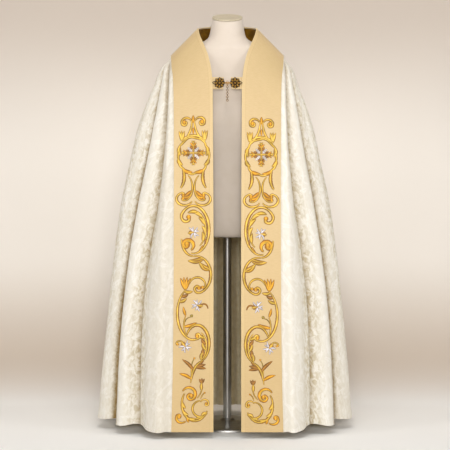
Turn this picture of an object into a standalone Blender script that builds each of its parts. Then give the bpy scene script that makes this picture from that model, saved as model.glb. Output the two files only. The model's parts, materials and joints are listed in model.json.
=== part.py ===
"""A cope, the half-circle vestment, worn by a limbless dress form on a pole and a round foot.

Metres, +Z up. The origin is the middle of the foot's underside and the cope's open front faces -Y.
Every sheet of cloth is a grid of points: rows run down the cloth and columns run round it, from the
left front (-X), behind the back, to the right front.
"""

import math
from collections import namedtuple

import bpy
import numpy as np
from mathutils import Matrix, Vector

# ---- Driving sizes ----
BODY_WALL = 0.002
BAND_WALL = 0.003
FACING_WALL = 0.001
TAB_WALL = 0.0025
GAP = 0.0003  # left at every seam and seat

HEM_HEIGHT = 0.025  # of the two front bands above the floor
HEM_RISE = 0.018  # how much higher the hem hangs at the sides
SHOULDER_X = 0.2185  # where the band's outer edge crosses the shoulder
SHOULDER_Z = 1.438
NECK_SEAM_BACK = 0.170  # the band's lower edge behind the back
NECK_SEAM_DIP = 0.018
COLLAR_X = 0.1132  # the standing inner edge beside the neck
COLLAR_Z = 1.541
COLLAR_BACK = 0.100
COLLAR_RISE = 0.011
FRONT_HEM_Y = -0.345

# The bell that the pleats' crests lie on at the hem.
BELL_CENTRE_X = -0.006
BELL_CENTRE_Y = 0.02
BELL_HALF_WIDTH = 0.495
BELL_FRONT = 0.380
BELL_BACK = 0.390
BELL_SQUARENESS = 2.6

# How far a line of cloth has spread at each part of its fall: at the sides, at the front and at the
# back, and for the front panel, which hangs straight down before it spreads.
Fall = namedtuple("Fall", "fallen side front back hanging")
FALLS = [
    Fall(0.000, 0.000, 0.000, 0.000, 0.000),
    Fall(0.004, 0.060, 0.045, 0.030, 0.015),
    Fall(0.012, 0.120, 0.100, 0.060, 0.040),
    Fall(0.030, 0.205, 0.175, 0.110, 0.080),
    Fall(0.080, 0.297, 0.330, 0.200, 0.100),
    Fall(0.140, 0.410, 0.430, 0.290, 0.110),
    Fall(0.200, 0.500, 0.500, 0.370, 0.150),
    Fall(0.300, 0.603, 0.590, 0.480, 0.290),
    Fall(0.400, 0.700, 0.665, 0.580, 0.460),
    Fall(0.550, 0.798, 0.780, 0.715, 0.710),
    Fall(0.700, 0.870, 0.860, 0.830, 0.890),
    Fall(0.850, 0.940, 0.930, 0.920, 0.970),
    Fall(1.000, 1.000, 1.000, 1.000, 1.000),
]

# The front band: its outer edge and its inner edge from the middle, how far forward the inner edge
# hangs, and how much higher the inner edge lies than the outer one beside it.
Band = namedtuple("Band", "fallen outer inner forward lift")
BANDS = [
    Band(0.000, 0.2185, 0.1132, 0.000, 0.1064),
    Band(0.004, 0.2180, 0.1125, 0.012, 0.1050),
    Band(0.012, 0.2168, 0.1090, 0.032, 0.1010),
    Band(0.030, 0.2142, 0.0935, 0.062, 0.0900),
    Band(0.055, 0.2090, 0.0720, 0.100, 0.0700),
    Band(0.085, 0.2065, 0.0600, 0.134, 0.0480),
    Band(0.120, 0.2048, 0.0565, 0.154, 0.0260),
    Band(0.170, 0.2035, 0.0560, 0.172, 0.0080),
    Band(0.300, 0.2025, 0.0545, 0.205, 0.0000),
    Band(0.550, 0.2020, 0.0530, 0.268, 0.0000),
    Band(0.800, 0.2045, 0.0530, 0.316, 0.0000),
    Band(1.000, 0.2105, 0.0535, 0.345, 0.0000),
]

# Every crest and valley of the cloth round the hem, by its bearing from the front (90 is the left
# side). out: how far from the bell it lies; starts: the part of the fall where it begins; hanging:
# how much of the front panel's hang it shares; root: where it leaves the neck seam, from the left
# shoulder to the right one; width: how broad it is there.
Pleat = namedtuple("Pleat", "bearing out starts hanging root width")
PLEATS = [
    Pleat(35.5, 0.030, 0.02, 1.00, 0.030, 0.55),
    Pleat(51.0, -0.048, 0.02, 1.00, 0.060, 0.40),
    Pleat(60.0, -0.015, 0.02, 0.50, 0.090, 0.60),
    Pleat(68.0, -0.077, 0.02, 0.25, 0.122, 0.22),
    Pleat(82.0, 0.002, 0.02, 0.00, 0.152, 0.60),
    Pleat(97.0, -0.062, 0.05, 0.00, 0.194, 0.30),
    Pleat(105.5, 0.004, 0.05, 0.00, 0.232, 0.55),
    Pleat(114.5, -0.068, 0.06, 0.00, 0.268, 0.28),
    Pleat(122.0, -0.004, 0.06, 0.00, 0.302, 0.55),
    Pleat(130.0, -0.060, 0.07, 0.00, 0.334, 0.32),
    Pleat(137.0, 0.006, 0.07, 0.00, 0.363, 0.55),
    Pleat(144.5, -0.064, 0.07, 0.00, 0.392, 0.28),
    Pleat(151.0, -0.002, 0.07, 0.00, 0.417, 0.55),
    Pleat(157.5, -0.052, 0.08, 0.00, 0.440, 0.34),
    Pleat(164.0, 0.006, 0.08, 0.00, 0.462, 0.55),
    Pleat(171.5, -0.056, 0.08, 0.00, 0.482, 0.30),
    Pleat(180.5, 0.008, 0.08, 0.00, 0.502, 0.60),
    Pleat(189.0, -0.050, 0.08, 0.00, 0.521, 0.32),
    Pleat(196.5, 0.000, 0.08, 0.00, 0.541, 0.55),
    Pleat(203.5, -0.060, 0.07, 0.00, 0.562, 0.28),
    Pleat(210.0, 0.006, 0.07, 0.00, 0.586, 0.55),
    Pleat(217.0, -0.052, 0.07, 0.00, 0.611, 0.34),
    Pleat(223.5, -0.004, 0.07, 0.00, 0.637, 0.55),
    Pleat(230.5, -0.066, 0.07, 0.00, 0.666, 0.28),
    Pleat(238.5, 0.004, 0.06, 0.00, 0.698, 0.55),
    Pleat(246.5, -0.062, 0.06, 0.00, 0.733, 0.30),
    Pleat(255.0, 0.000, 0.05, 0.00, 0.769, 0.55),
    Pleat(264.0, -0.060, 0.05, 0.00, 0.807, 0.30),
    Pleat(278.5, -0.004, 0.02, 0.06, 0.848, 0.60),
    Pleat(292.5, -0.076, 0.02, 0.25, 0.878, 0.22),
    Pleat(300.5, -0.018, 0.02, 0.50, 0.910, 0.60),
    Pleat(309.5, -0.050, 0.02, 1.00, 0.940, 0.40),
    Pleat(325.0, 0.026, 0.02, 1.00, 0.970, 0.55),
]
PLEAT_GROWTH = 0.7  # how soon a pleat opens: under 1 it opens early and then deepens slowly
SIDE_STARTS = 70  # the bearings between which the front's spread turns into the back's
SIDE_ENDS = 110
STEPS_PER_FOLD = 3  # columns from a crest to the next valley
SEAM_WIDTH = 0.35  # how straight the panel leaves the band
BACK_SEAMS = (10, 24)  # the body's joins, counted in marks from the left band
BAND_COLUMNS = 4
COLLAR_ROWS = 2
SEAM_STEP = 0.01  # of the neck seam, each way, over which its direction is read
EVENING = 2  # passes that even out the directions of the walls
SHOULDER_TURN = 0.06  # the part of the fall over which the walls turn from the collar's lean
CLOTH_ROWS = (0, 0.004, 0.012, 0.03, 0.055, 0.085, 0.12, 0.17, 0.23, 0.31, 0.4, 0.5, 0.62, 0.75, 0.88, 1)

# The facing shows inside the standing collar, from one shoulder round to the other.
FACING_ROWS = (0.06, 0.34, 0.62)  # parts of the way from the collar's top to the neck seam
FACING_EVERY = 2  # columns of the collar to one of the facing's
FACING_GAP = 0.0006  # its wider columns cut the collar's curve by about half of this

# The dress form, from its neck down to its flat underside.
Section = namedtuple("Section", "height half_width half_depth centre_y")
FORM = [
    Section(1.5795, 0.0580, 0.0580, 0.000),
    Section(1.5545, 0.0625, 0.0610, 0.002),
    Section(1.5275, 0.0665, 0.0640, 0.004),
    Section(1.5080, 0.0720, 0.0690, 0.007),
    Section(1.4960, 0.0850, 0.0760, 0.010),
    Section(1.4860, 0.1080, 0.0820, 0.012),
    Section(1.4755, 0.1400, 0.0907, 0.012),
    Section(1.4625, 0.1660, 0.0938, 0.012),
    Section(1.4435, 0.1830, 0.0955, 0.012),
    Section(1.4125, 0.1920, 0.0960, 0.011),
    Section(1.3580, 0.1920, 0.1000, 0.008),
    Section(1.2980, 0.1820, 0.1120, 0.004),
    Section(1.2280, 0.1700, 0.1170, 0.002),
    Section(1.1500, 0.1560, 0.1100, 0.000),
    Section(1.0500, 0.1460, 0.1020, 0.000),
    Section(0.9500, 0.1540, 0.1080, 0.004),
    Section(0.8500, 0.1660, 0.1180, 0.008),
    Section(0.7700, 0.1660, 0.1180, 0.008),
    Section(0.7450, 0.1600, 0.1120, 0.008),
    Section(0.7400, 0.1500, 0.1020, 0.008),
]
FORM_SQUARENESS = 2.3
FORM_SIDES = 28
NECK_TILT = math.radians(12)  # the cut of the neck leans forward
NECK_TILTS_FROM = 1.527
POLE_RADIUS = 0.016
ROUND_SIDES = 28

# The turned pieces of the dress form, from the top down.
Turning = namedtuple("Turning", "radius height")
CAP = [
    Turning(0.0565, 0.008),
    Turning(0.0585, 0.006),
    Turning(0.0585, 0.002),
    Turning(0.0565, 0.000),
]
FOOT = [
    Turning(0.022, 0.028),
    Turning(0.026, 0.024),
    Turning(0.030, 0.020),
    Turning(0.194, 0.010),
    Turning(0.200, 0.006),
    Turning(0.200, 0.000),
]

# The clasp: a cloth tab from each band, a gilt rosette on each tab, and the hook that joins them.
CLASP_FALLEN = 0.100  # where the clasp's middle crosses the bands
TAB_HEIGHT = 0.047
TAB_UNDER = 0.010  # how much of the tab lies under the band
TAB_REACH = 0.043  # how far it runs past the band's inner edge
TAB_COLUMNS = 3
TAB_SLOPE = 0.02  # the part of the fall, up and down, over which the band's slope is read for it
TAB_MARGIN = 1.2  # how much larger than the tab's hidden end the patch of band is that it clears
PATCH_ACROSS = np.linspace(0, 0.15, 7)  # where that patch is read: parts of the band's width
PATCH_DOWN = np.linspace(0, 1, 12)  # and parts of the way from one row of the band to the next
ROSETTE_X = 0.0302
ROSETTE_RADIUS = 0.0215
ROSETTE_POINT = 0.0265  # the long petal that points to the band
ROSETTE_WALL = 0.0018
PETAL_RELIEF = 0.0014
PETALS = 8
PETAL_FOOT = 0.14  # where a petal rises from the middle, as a part of the rosette's reach
PETAL_LENGTH = 0.80
LOBE_DEPTH = 0.10  # how far the edge draws in between two petals
POINT_SPREAD = 0.30  # radians of the edge that the long petal takes up
BOSS_RELIEF = 0.0026
BOSS_REACH = 0.26
RIM = 0.7  # the part of the wall that is left at the edge
ROSETTE_SPOKES = 32
ROSETTE_RINGS = (0.14, 0.26, 0.42, 0.62, 0.82, 0.93, 1.0)
HOOK_LENGTH = 0.0235
HOOK_HEIGHT = 0.0052
HOOK_WALL = 0.0022
HOOK_EDGE = 0.0008  # the rounding of its bar
HOOK_SEAT = 0.0009  # from the tab's face to the hook's back

# The chain of round links that hangs from the hook.
LINKS = 9
WIRE = 0.0008  # radius
LINK_RADIUS = 0.00415  # to the middle of the wire
LINK_PITCH = 2 * LINK_RADIUS - 2 * WIRE - GAP
EYE_RADIUS = 0.0050  # of the hook's eye, to the middle of its wire
LINK_SIDES = 14
WIRE_SIDES = 6


SHARP_ANGLE = math.radians(50)  # an edge sharper than this isn't shaded smooth


# ---- Curves ----
def along(table, column, fallen):
    """Reads a column of a table at any part of the fall, on a smooth curve that never overshoots."""
    xs = np.array([row.fallen for row in table])
    ys = np.array([getattr(row, column) for row in table])
    steps = np.diff(xs)
    slopes = np.diff(ys) / steps
    tangents = np.zeros_like(ys)
    for i in range(1, len(xs) - 1):
        if slopes[i - 1] * slopes[i] > 0:
            near = 2 * steps[i] + steps[i - 1]
            far = steps[i] + 2 * steps[i - 1]
            tangents[i] = (near + far) / (near / slopes[i - 1] + far / slopes[i])
    tangents[0] = slopes[0]
    tangents[-1] = slopes[-1]
    i = min(max(int(np.searchsorted(xs, fallen)) - 1, 0), len(steps) - 1)
    s = (fallen - xs[i]) / steps[i]
    return float(
        ys[i] * (1 + 2 * s) * (1 - s) ** 2
        + tangents[i] * steps[i] * s * (1 - s) ** 2
        + ys[i + 1] * s * s * (3 - 2 * s)
        + tangents[i + 1] * steps[i] * s * s * (s - 1)
    )


def unit(vectors):
    return vectors / np.linalg.norm(vectors, axis=-1, keepdims=True)


def smoothstep(low, high, value):
    s = min(max((value - low) / (high - low), 0), 1)
    return s * s * (3 - 2 * s)


# ---- The cope's lines ----
def neck_seam(root):
    """Where the body cloth leaves the band, from the left shoulder (0) behind the neck to the right (1)."""
    turn = math.pi * root
    return np.array(
        [
            -SHOULDER_X * math.cos(turn),
            NECK_SEAM_BACK * math.sin(turn),
            SHOULDER_Z - NECK_SEAM_DIP * math.sin(turn),
        ]
    )


def collar_top(root):
    """The collar's standing inner edge, over the same stretch."""
    turn = math.pi * root
    return np.array(
        [
            -COLLAR_X * math.cos(turn),
            COLLAR_BACK * math.sin(turn),
            COLLAR_Z + COLLAR_RISE * math.sin(turn),
        ]
    )


def front_seam(fallen, side):
    """The band's outer edge down the front. side is -1 on the left and 1 on the right."""
    height = SHOULDER_Z + (HEM_HEIGHT - SHOULDER_Z) * fallen
    forward = FRONT_HEM_Y * along(FALLS, "front", fallen)
    return np.array([side * along(BANDS, "outer", fallen), forward, height])


def front_edge(fallen, side):
    """The band's inner edge down the front."""
    height = SHOULDER_Z + (HEM_HEIGHT - SHOULDER_Z) * fallen + along(BANDS, "lift", fallen)
    return np.array([side * along(BANDS, "inner", fallen), -along(BANDS, "forward", fallen), height])


def band_point(across, fallen, side):
    """A point of the band: across is 0 at its inner edge and 1 at its outer one."""
    inner = front_edge(fallen, side)
    return inner + (front_seam(fallen, side) - inner) * across


def bell(bearing):
    """The bell's plan at the hem: its outward direction and its distance from the middle."""
    turn = math.radians(bearing)
    way = np.array([-math.sin(turn), -math.cos(turn)])
    depth = BELL_FRONT if way[1] < 0 else BELL_BACK
    power = BELL_SQUARENESS
    reach = (abs(way[0]) / BELL_HALF_WIDTH) ** power + (abs(way[1]) / depth) ** power
    return way, reach ** (-1 / power)


def pleat_mark(pleat, fallen):
    """The crest's or valley's point at one part of the fall."""
    start = neck_seam(pleat.root)
    way, reach = bell(pleat.bearing)
    hem = np.array([BELL_CENTRE_X + way[0] * reach, BELL_CENTRE_Y + way[1] * reach])
    sideways = along(FALLS, "side", fallen) * (1 - pleat.hanging)
    sideways += along(FALLS, "hanging", fallen) * pleat.hanging
    behind = smoothstep(SIDE_STARTS, SIDE_ENDS, min(pleat.bearing, 360 - pleat.bearing))
    lengthways = along(FALLS, "front", fallen) * (1 - behind) + along(FALLS, "back", fallen) * behind
    grown = max(fallen - pleat.starts, 0) / (1 - pleat.starts)
    out = pleat.out * grown**PLEAT_GROWTH
    hem_height = HEM_HEIGHT + HEM_RISE * math.sin(math.radians(pleat.bearing)) ** 2
    return np.array(
        [
            start[0] + (hem[0] - start[0]) * sideways + out * way[0],
            start[1] + (hem[1] - start[1]) * lengthways + out * way[1],
            start[2] + (hem_height - start[2]) * fallen,
        ]
    )


def cloth_ring(fallen, steps):
    """One ring of the body cloth, from the left band round the back to the right one."""
    marks = [front_seam(fallen, -1)]
    marks += [pleat_mark(pleat, fallen) for pleat in PLEATS]
    marks += [front_seam(fallen, 1)]
    ways = [unit(front_seam(fallen, -1) - band_point(0.5, fallen, -1))]
    ways += [unit(after - before) for before, after in zip(marks, marks[2:])]
    ways += [unit(band_point(0.5, fallen, 1) - front_seam(fallen, 1))]
    widths = [SEAM_WIDTH] + [pleat.width for pleat in PLEATS] + [SEAM_WIDTH]
    ring = [marks[0]]
    for i, (start, end) in enumerate(zip(marks, marks[1:])):
        reach = np.linalg.norm(end - start)
        near = start + ways[i] * widths[i] * reach
        far = end - ways[i + 1] * widths[i + 1] * reach
        for step in range(1, steps + 1):
            s = step / steps
            ring.append(
                start * (1 - s) ** 3 + 3 * near * s * (1 - s) ** 2 + 3 * far * s * s * (1 - s) + end * s**3
            )
    return np.array(ring)


def roots_of_columns(steps):
    """Where each column of the body cloth starts on the neck seam."""
    marks = [0.0] + [pleat.root for pleat in PLEATS] + [1.0]
    roots = [0.0]
    for start, end in zip(marks, marks[1:]):
        roots += [start + (end - start) * step / steps for step in range(1, steps + 1)]
    return roots


# ---- Grids ----
def body_grid():
    return np.array([cloth_ring(fallen, STEPS_PER_FOLD) for fallen in CLOTH_ROWS])


def band_grid(side):
    """The front band, its columns in the same direction round the garment as the body's."""
    order = np.linspace(0, 1, BAND_COLUMNS + 1)
    if side > 0:
        order = order[::-1]
    return np.array([[band_point(across, fallen, side) for across in order] for fallen in CLOTH_ROWS])


def collar_grid(neck_ring):
    """The band's stretch behind the neck, from its standing edge down to the neck seam."""
    tops = np.array([collar_top(root) for root in roots_of_columns(STEPS_PER_FOLD)])
    parts = np.linspace(0, 1, COLLAR_ROWS + 1)[:, None, None]
    return tops + (neck_ring - tops) * parts


def neck_direction(root):
    """The outward direction of the collar's wall, and of what joins it, at one place on the neck seam."""
    onwards = neck_seam(root + SEAM_STEP) - neck_seam(root - SEAM_STEP)
    return unit(np.cross(onwards, neck_seam(root) - collar_top(root)))


def normals_of(grid, roots):
    """Outward directions of a grid whose rows are CLOTH_ROWS, turning into the collar's at its top."""
    normals = unit(np.cross(np.gradient(grid, axis=1), np.gradient(grid, axis=0)))
    top = np.array([neck_direction(root) for root in roots])
    for row, fallen in enumerate(CLOTH_ROWS):
        own = smoothstep(0, SHOULDER_TURN, fallen)
        normals[row] = unit(top * (1 - own) + normals[row] * own)
    return normals


def share(first, second):
    """One direction for both sides of a seam, so that the two walls' ends stay parallel."""
    middle = unit(first + second)
    first[:] = middle
    second[:] = middle


def evened(normals):
    """The directions evened out from column to column, between the two end columns."""
    for _ in range(EVENING):
        normals[:, 1:-1] = unit(normals[:, :-2] + 2 * normals[:, 1:-1] + normals[:, 2:])


def drawn_back(grid, normals, columns=(), rows=()):
    """The grid with its named end columns or rows drawn back, square to the seam, by half its gap."""
    drawn = grid.copy()
    for end, inside in columns:
        square = unit(np.cross(normals[:, end], np.gradient(grid[:, end], axis=0)))
        inwards = np.sign(np.sum(square * (grid[:, inside] - grid[:, end]), axis=1, keepdims=True))
        drawn[:, end] += square * inwards * GAP / 2
    for end, inside in rows:
        square = unit(np.cross(normals[end], np.gradient(grid[end], axis=0)))
        inwards = np.sign(np.sum(square * (grid[inside] - grid[end]), axis=1, keepdims=True))
        drawn[end] += square * inwards * GAP / 2
    return drawn


FIRST = (0, 1)
LAST = (-1, -2)


# ---- Meshes ----
def material(name, colour, roughness, metallic=0.0):
    made = bpy.data.materials.new(name)
    made.use_nodes = True
    shader = made.node_tree.nodes["Principled BSDF"]
    shader.inputs["Base Color"].default_value = (*colour, 1)
    shader.inputs["Roughness"].default_value = roughness
    shader.inputs["Metallic"].default_value = metallic
    made.diffuse_color = (*colour, 1)
    return made


def add_object(name, mesh, finish):
    mesh.materials.append(finish)
    made = bpy.data.objects.new(name, mesh)
    bpy.context.scene.collection.objects.link(made)
    return made


def mesh_of(name, points, faces):
    mesh = bpy.data.meshes.new(name)
    mesh.from_pydata([tuple(point) for point in points], [], faces)
    mesh.shade_smooth()
    mesh.set_sharp_from_angle(angle=SHARP_ANGLE)
    return mesh


def wall(name, grid, normals, thickness, finish, outward=0.0):
    """A sheet of cloth as a closed wall: the grid, the grid moved in, and the rim between them."""
    rows, columns = grid.shape[:2]
    outer = grid + normals * outward
    inner = outer - normals * thickness
    points = np.concatenate([outer.reshape(-1, 3), inner.reshape(-1, 3)])
    under = rows * columns

    def at(row, column):
        return row * columns + column

    faces = []
    for row in range(rows - 1):
        for column in range(columns - 1):
            corners = (at(row, column), at(row, column + 1), at(row + 1, column + 1), at(row + 1, column))
            faces.append(corners)
            faces.append(tuple(corner + under for corner in reversed(corners)))
    rim = [at(0, column) for column in range(columns)]
    rim += [at(row, columns - 1) for row in range(1, rows)]
    rim += [at(rows - 1, column) for column in range(columns - 2, -1, -1)]
    rim += [at(row, 0) for row in range(rows - 2, 0, -1)]
    for a, b in zip(rim, rim[1:] + rim[:1]):  # both sides of a seam get the same diagonals
        if b > a:
            faces += [(b, a, a + under), (b, a + under, b + under)]
        else:
            faces += [(b, a, b + under), (a, a + under, b + under)]
    return add_object(name, mesh_of(name, points, faces), finish)


def stack(name, rings, finish):
    """A closed solid through rings of points, from the top one down, with a flat lid on each end."""
    sides = len(rings[0])
    points = [point for ring in rings for point in ring]
    faces = [tuple(range(sides)), tuple(reversed(range(len(points) - sides, len(points))))]
    for i in range(len(rings) - 1):
        for side in range(sides):
            after = (side + 1) % sides
            top, under = i * sides, (i + 1) * sides
            faces.append((top + side, under + side, under + after, top + after))
    return add_object(name, mesh_of(name, points, faces), finish)


def round_ring(radius, height):
    turns = [2 * math.pi * side / ROUND_SIDES for side in range(ROUND_SIDES)]
    return [(radius * math.cos(turn), radius * math.sin(turn), height) for turn in turns]


# ---- The pieces ----
def make_cloth(damask, lame, gold):
    """The three widths of the body, the two front bands, the collar band and its facing."""
    body = body_grid()
    collar = collar_grid(body[0])
    bands = {side: band_grid(side) for side in (-1, 1)}
    roots = roots_of_columns(STEPS_PER_FOLD)
    body_normals = normals_of(body, roots)
    collar_normals = np.repeat(np.array([neck_direction(root) for root in roots])[None], len(collar), axis=0)
    band_normals = {-1: normals_of(bands[-1], [0] * (BAND_COLUMNS + 1))}
    band_normals[1] = normals_of(bands[1], [1] * (BAND_COLUMNS + 1))
    share(body_normals[:, 0], band_normals[-1][:, -1])
    share(body_normals[:, -1], band_normals[1][:, 0])
    evened(body_normals)

    left, right = (mark * STEPS_PER_FOLD for mark in BACK_SEAMS)
    widths = {
        "body_left": slice(0, left + 1),
        "body_back": slice(left, right + 1),
        "body_right": slice(right, body.shape[1]),
    }
    for name, part in widths.items():
        normals = body_normals[:, part]
        grid = drawn_back(body[:, part], normals, columns=(FIRST, LAST), rows=(FIRST,))
        wall(name, grid, normals, BODY_WALL, damask)
    for name, side, seam in (("orphrey_left", -1, LAST), ("orphrey_right", 1, FIRST)):
        grid = drawn_back(bands[side], band_normals[side], columns=(seam,), rows=(FIRST,))
        wall(name, grid, band_normals[side], BAND_WALL, lame)
    grid = drawn_back(collar, collar_normals, columns=(FIRST, LAST), rows=(LAST,))
    wall("collar", grid, collar_normals, BAND_WALL, lame)
    make_facing(collar, collar_normals, gold)


def make_facing(collar, normals, gold):
    """The dark gold facing inside the standing collar, made from the collar's points, moved in."""
    columns = np.arange(0, collar.shape[1], FACING_EVERY)
    columns = columns[1:-1]
    top, bottom = collar[0][columns], collar[-1][columns]
    grid = np.array([top + (bottom - top) * part for part in FACING_ROWS])
    inward = np.repeat(normals[1][columns][None], len(FACING_ROWS), axis=0)
    wall("collar_facing", grid, inward, FACING_WALL, gold, outward=-BAND_WALL - FACING_GAP)


def make_form(shell, wood, steel):
    """The dress form: a smooth body with its neck, a flat cap, the pole and the foot."""
    rings = []
    for section in FORM:
        ring = []
        for side in range(FORM_SIDES):
            turn = 2 * math.pi * side / FORM_SIDES
            across, ahead = math.cos(turn), math.sin(turn)
            power = 2 / FORM_SQUARENESS
            x = section.half_width * math.copysign(abs(across) ** power, across)
            y = section.half_depth * math.copysign(abs(ahead) ** power, ahead)
            lean = smoothstep(NECK_TILTS_FROM, FORM[0].height, section.height)
            lift = y * math.tan(NECK_TILT) * lean
            ring.append((x, section.centre_y + y, section.height + lift))
        rings.append(ring)
    stack("form_torso", rings, shell)

    cap = stack("form_neck_cap", [round_ring(*turning) for turning in CAP], wood)
    neck_top = Vector((0, FORM[0].centre_y, FORM[0].height + GAP / math.cos(NECK_TILT)))
    cap.matrix_world = Matrix.Translation(neck_top) @ Matrix.Rotation(NECK_TILT, 4, "X")

    pole_top, pole_end = FORM[-1].height - GAP, FOOT[0].height + GAP
    stack("form_pole", [round_ring(POLE_RADIUS, pole_top), round_ring(POLE_RADIUS, pole_end)], steel)
    stack("form_foot", [round_ring(*turning) for turning in FOOT], steel)


def clasp_plane(side):
    """The plane of one tab: its middle on the band's inner edge, its axes, and how deep its face lies."""
    edge = front_edge(CLASP_FALLEN, side)
    upwards = front_edge(CLASP_FALLEN - TAB_SLOPE, side) - front_edge(CLASP_FALLEN + TAB_SLOPE, side)
    out = unit(np.cross((edge - front_seam(CLASP_FALLEN, side)) * -side, upwards))
    right = unit(np.cross((0, 0, 1), out))
    up = np.cross(out, right)
    depth = 0
    for above, below in zip(CLOTH_ROWS, CLOTH_ROWS[1:]):
        for across in PATCH_ACROSS:
            top, bottom = band_point(across, above, side) - edge, band_point(across, below, side) - edge
            for part in PATCH_DOWN:
                place = top + (bottom - top) * part
                covered = abs(place @ up) < TAB_HEIGHT / 2 * TAB_MARGIN
                covered = covered and abs(place @ right) < TAB_UNDER * TAB_MARGIN
                depth = max(depth, -(place @ out)) if covered else depth
    return edge, right, up, out, depth + BAND_WALL + GAP


def tab_frame(side, from_middle):
    """A place on a tab's face, at this distance from the middle, with the tab's axes: right, up, out."""
    edge, right, up, out, depth = clasp_plane(side)
    place = edge + right * (side * from_middle - edge[0]) / right[0] - out * depth
    axes = Matrix((right, up, out)).transposed().to_4x4()
    return axes, Vector(place), Vector(out)


def make_tab(side, name, lame):
    """A cloth tab from under the band to behind the rosette."""
    edge, right, up, out, depth = clasp_plane(side)
    towards_right, towards_left = (TAB_REACH, TAB_UNDER) if side < 0 else (TAB_UNDER, TAB_REACH)
    stops = np.linspace(towards_right, -towards_left, TAB_COLUMNS + 1)
    heights = (TAB_HEIGHT / 2, 0, -TAB_HEIGHT / 2)
    grid = np.array([[edge + right * stop + up * height for stop in stops] for height in heights])
    normals = np.broadcast_to(out, grid.shape)
    wall(name, grid, normals, TAB_WALL, lame, outward=-depth)


def rosette_outline(turn):
    """The rosette's edge: eight lobes, of which the one at turn 0 is drawn out to a point."""
    lobes = 1 - LOBE_DEPTH * abs(math.sin(PETALS * turn / 2))
    point = math.exp(-((turn if turn < math.pi else turn - 2 * math.pi) / POINT_SPREAD) ** 2)
    return ROSETTE_RADIUS * lobes + (ROSETTE_POINT - ROSETTE_RADIUS) * point


def make_rosette(side, name, gilt):
    """A gilt rosette with a boss and raised petals, its flat back on the tab."""
    front = []
    for part in ROSETTE_RINGS:
        along_petal = math.sin(math.pi * min(max((part - PETAL_FOOT) / PETAL_LENGTH, 0), 1))
        boss = max(1 - (part / BOSS_REACH) ** 2, 0)
        for spoke in range(ROSETTE_SPOKES):
            turn = 2 * math.pi * spoke / ROSETTE_SPOKES
            petal = along_petal * abs(math.cos(PETALS * turn / 2))
            height = ROSETTE_WALL + PETAL_RELIEF * petal + BOSS_RELIEF * boss
            if part == ROSETTE_RINGS[-1]:
                height = ROSETTE_WALL * RIM
            reach = rosette_outline(turn) * part
            front.append((side * reach * math.cos(turn), reach * math.sin(turn), height))
    rings = len(ROSETTE_RINGS) - 1  # bands of faces between them
    edge = front[-ROSETTE_SPOKES:]
    points = front + [(x, y, 0) for x, y, _ in edge]
    crown = len(points)
    points += [(0, 0, ROSETTE_WALL + BOSS_RELIEF), (0, 0, 0)]
    faces = []
    for spoke in range(ROSETTE_SPOKES):
        after = (spoke + 1) % ROSETTE_SPOKES
        faces.append((crown, spoke, after))
        for ring in range(rings):
            near, far = ring * ROSETTE_SPOKES, (ring + 1) * ROSETTE_SPOKES
            faces.append((near + spoke, far + spoke, far + after, near + after))
        back = rings * ROSETTE_SPOKES
        faces.append((crown + 1, back + after, back + spoke))
    if side < 0:
        faces = [tuple(reversed(face)) for face in faces]
    rosette = add_object(name, mesh_of(name, points, faces), gilt)
    turn, face, out = tab_frame(side, ROSETTE_X)
    rosette.matrix_world = Matrix.Translation(face + out * GAP) @ turn


def torus_points(centre, plane, radius=LINK_RADIUS):
    """A ring of wire, as points and faces. plane is XZ for a ring seen full face, or YZ."""
    points, faces = [], []
    for i in range(LINK_SIDES):
        round_link = 2 * math.pi * i / LINK_SIDES
        for j in range(WIRE_SIDES):
            round_wire = 2 * math.pi * j / WIRE_SIDES
            reach = radius + WIRE * math.cos(round_wire)
            flat = (reach * math.cos(round_link), reach * math.sin(round_link), WIRE * math.sin(round_wire))
            x, y, z = (flat[0], -flat[2], flat[1]) if plane == "XZ" else (flat[2], flat[0], flat[1])
            points.append((centre[0] + x, centre[1] + y, centre[2] + z))
    for i in range(LINK_SIDES):
        for j in range(WIRE_SIDES):
            a = i * WIRE_SIDES + j
            b = i * WIRE_SIDES + (j + 1) % WIRE_SIDES
            c = (i + 1) % LINK_SIDES * WIRE_SIDES + (j + 1) % WIRE_SIDES
            d = (i + 1) % LINK_SIDES * WIRE_SIDES + j
            faces.append((a, d, c, b))
    return points, faces


def hook_place():
    """The middle of the hook's bar."""
    _, left, left_out = tab_frame(-1, 0)
    _, right, right_out = tab_frame(1, 0)
    out = (left_out + right_out).normalized()
    return (left + right) / 2 + out * (HOOK_SEAT + HOOK_WALL / 2)


def make_hook(gilt):
    """The bar that joins the rosettes, with the eye that the chain hangs from."""
    place = hook_place()
    bpy.ops.mesh.primitive_cube_add(size=1, location=place)
    bar = bpy.context.object
    bar.name = "clasp_hook"
    bar.data.name = "clasp_hook"
    bar.data.transform(Matrix.Diagonal((HOOK_LENGTH, HOOK_WALL, HOOK_HEIGHT, 1)))
    bevel = bar.modifiers.new("Rounded", "BEVEL")
    bevel.width = HOOK_EDGE
    bevel.segments = 2
    eye_points, eye_faces = torus_points(hook_eye(), "YZ", EYE_RADIUS)
    eye = add_object("hook_eye_shape", mesh_of("hook_eye_shape", eye_points, eye_faces), gilt)
    eye.hide_render = True
    eye.display_type = "WIRE"
    join = bar.modifiers.new("Eye", "BOOLEAN")
    join.operation = "UNION"
    join.object = eye
    bar.data.materials.append(gilt)


def hook_eye():
    """The middle of the eye under the hook's bar, in the same plane as every second link."""
    place = hook_place()
    return (place.x, place.y, place.z - HOOK_HEIGHT / 2 - EYE_RADIUS + WIRE / 2)


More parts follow.
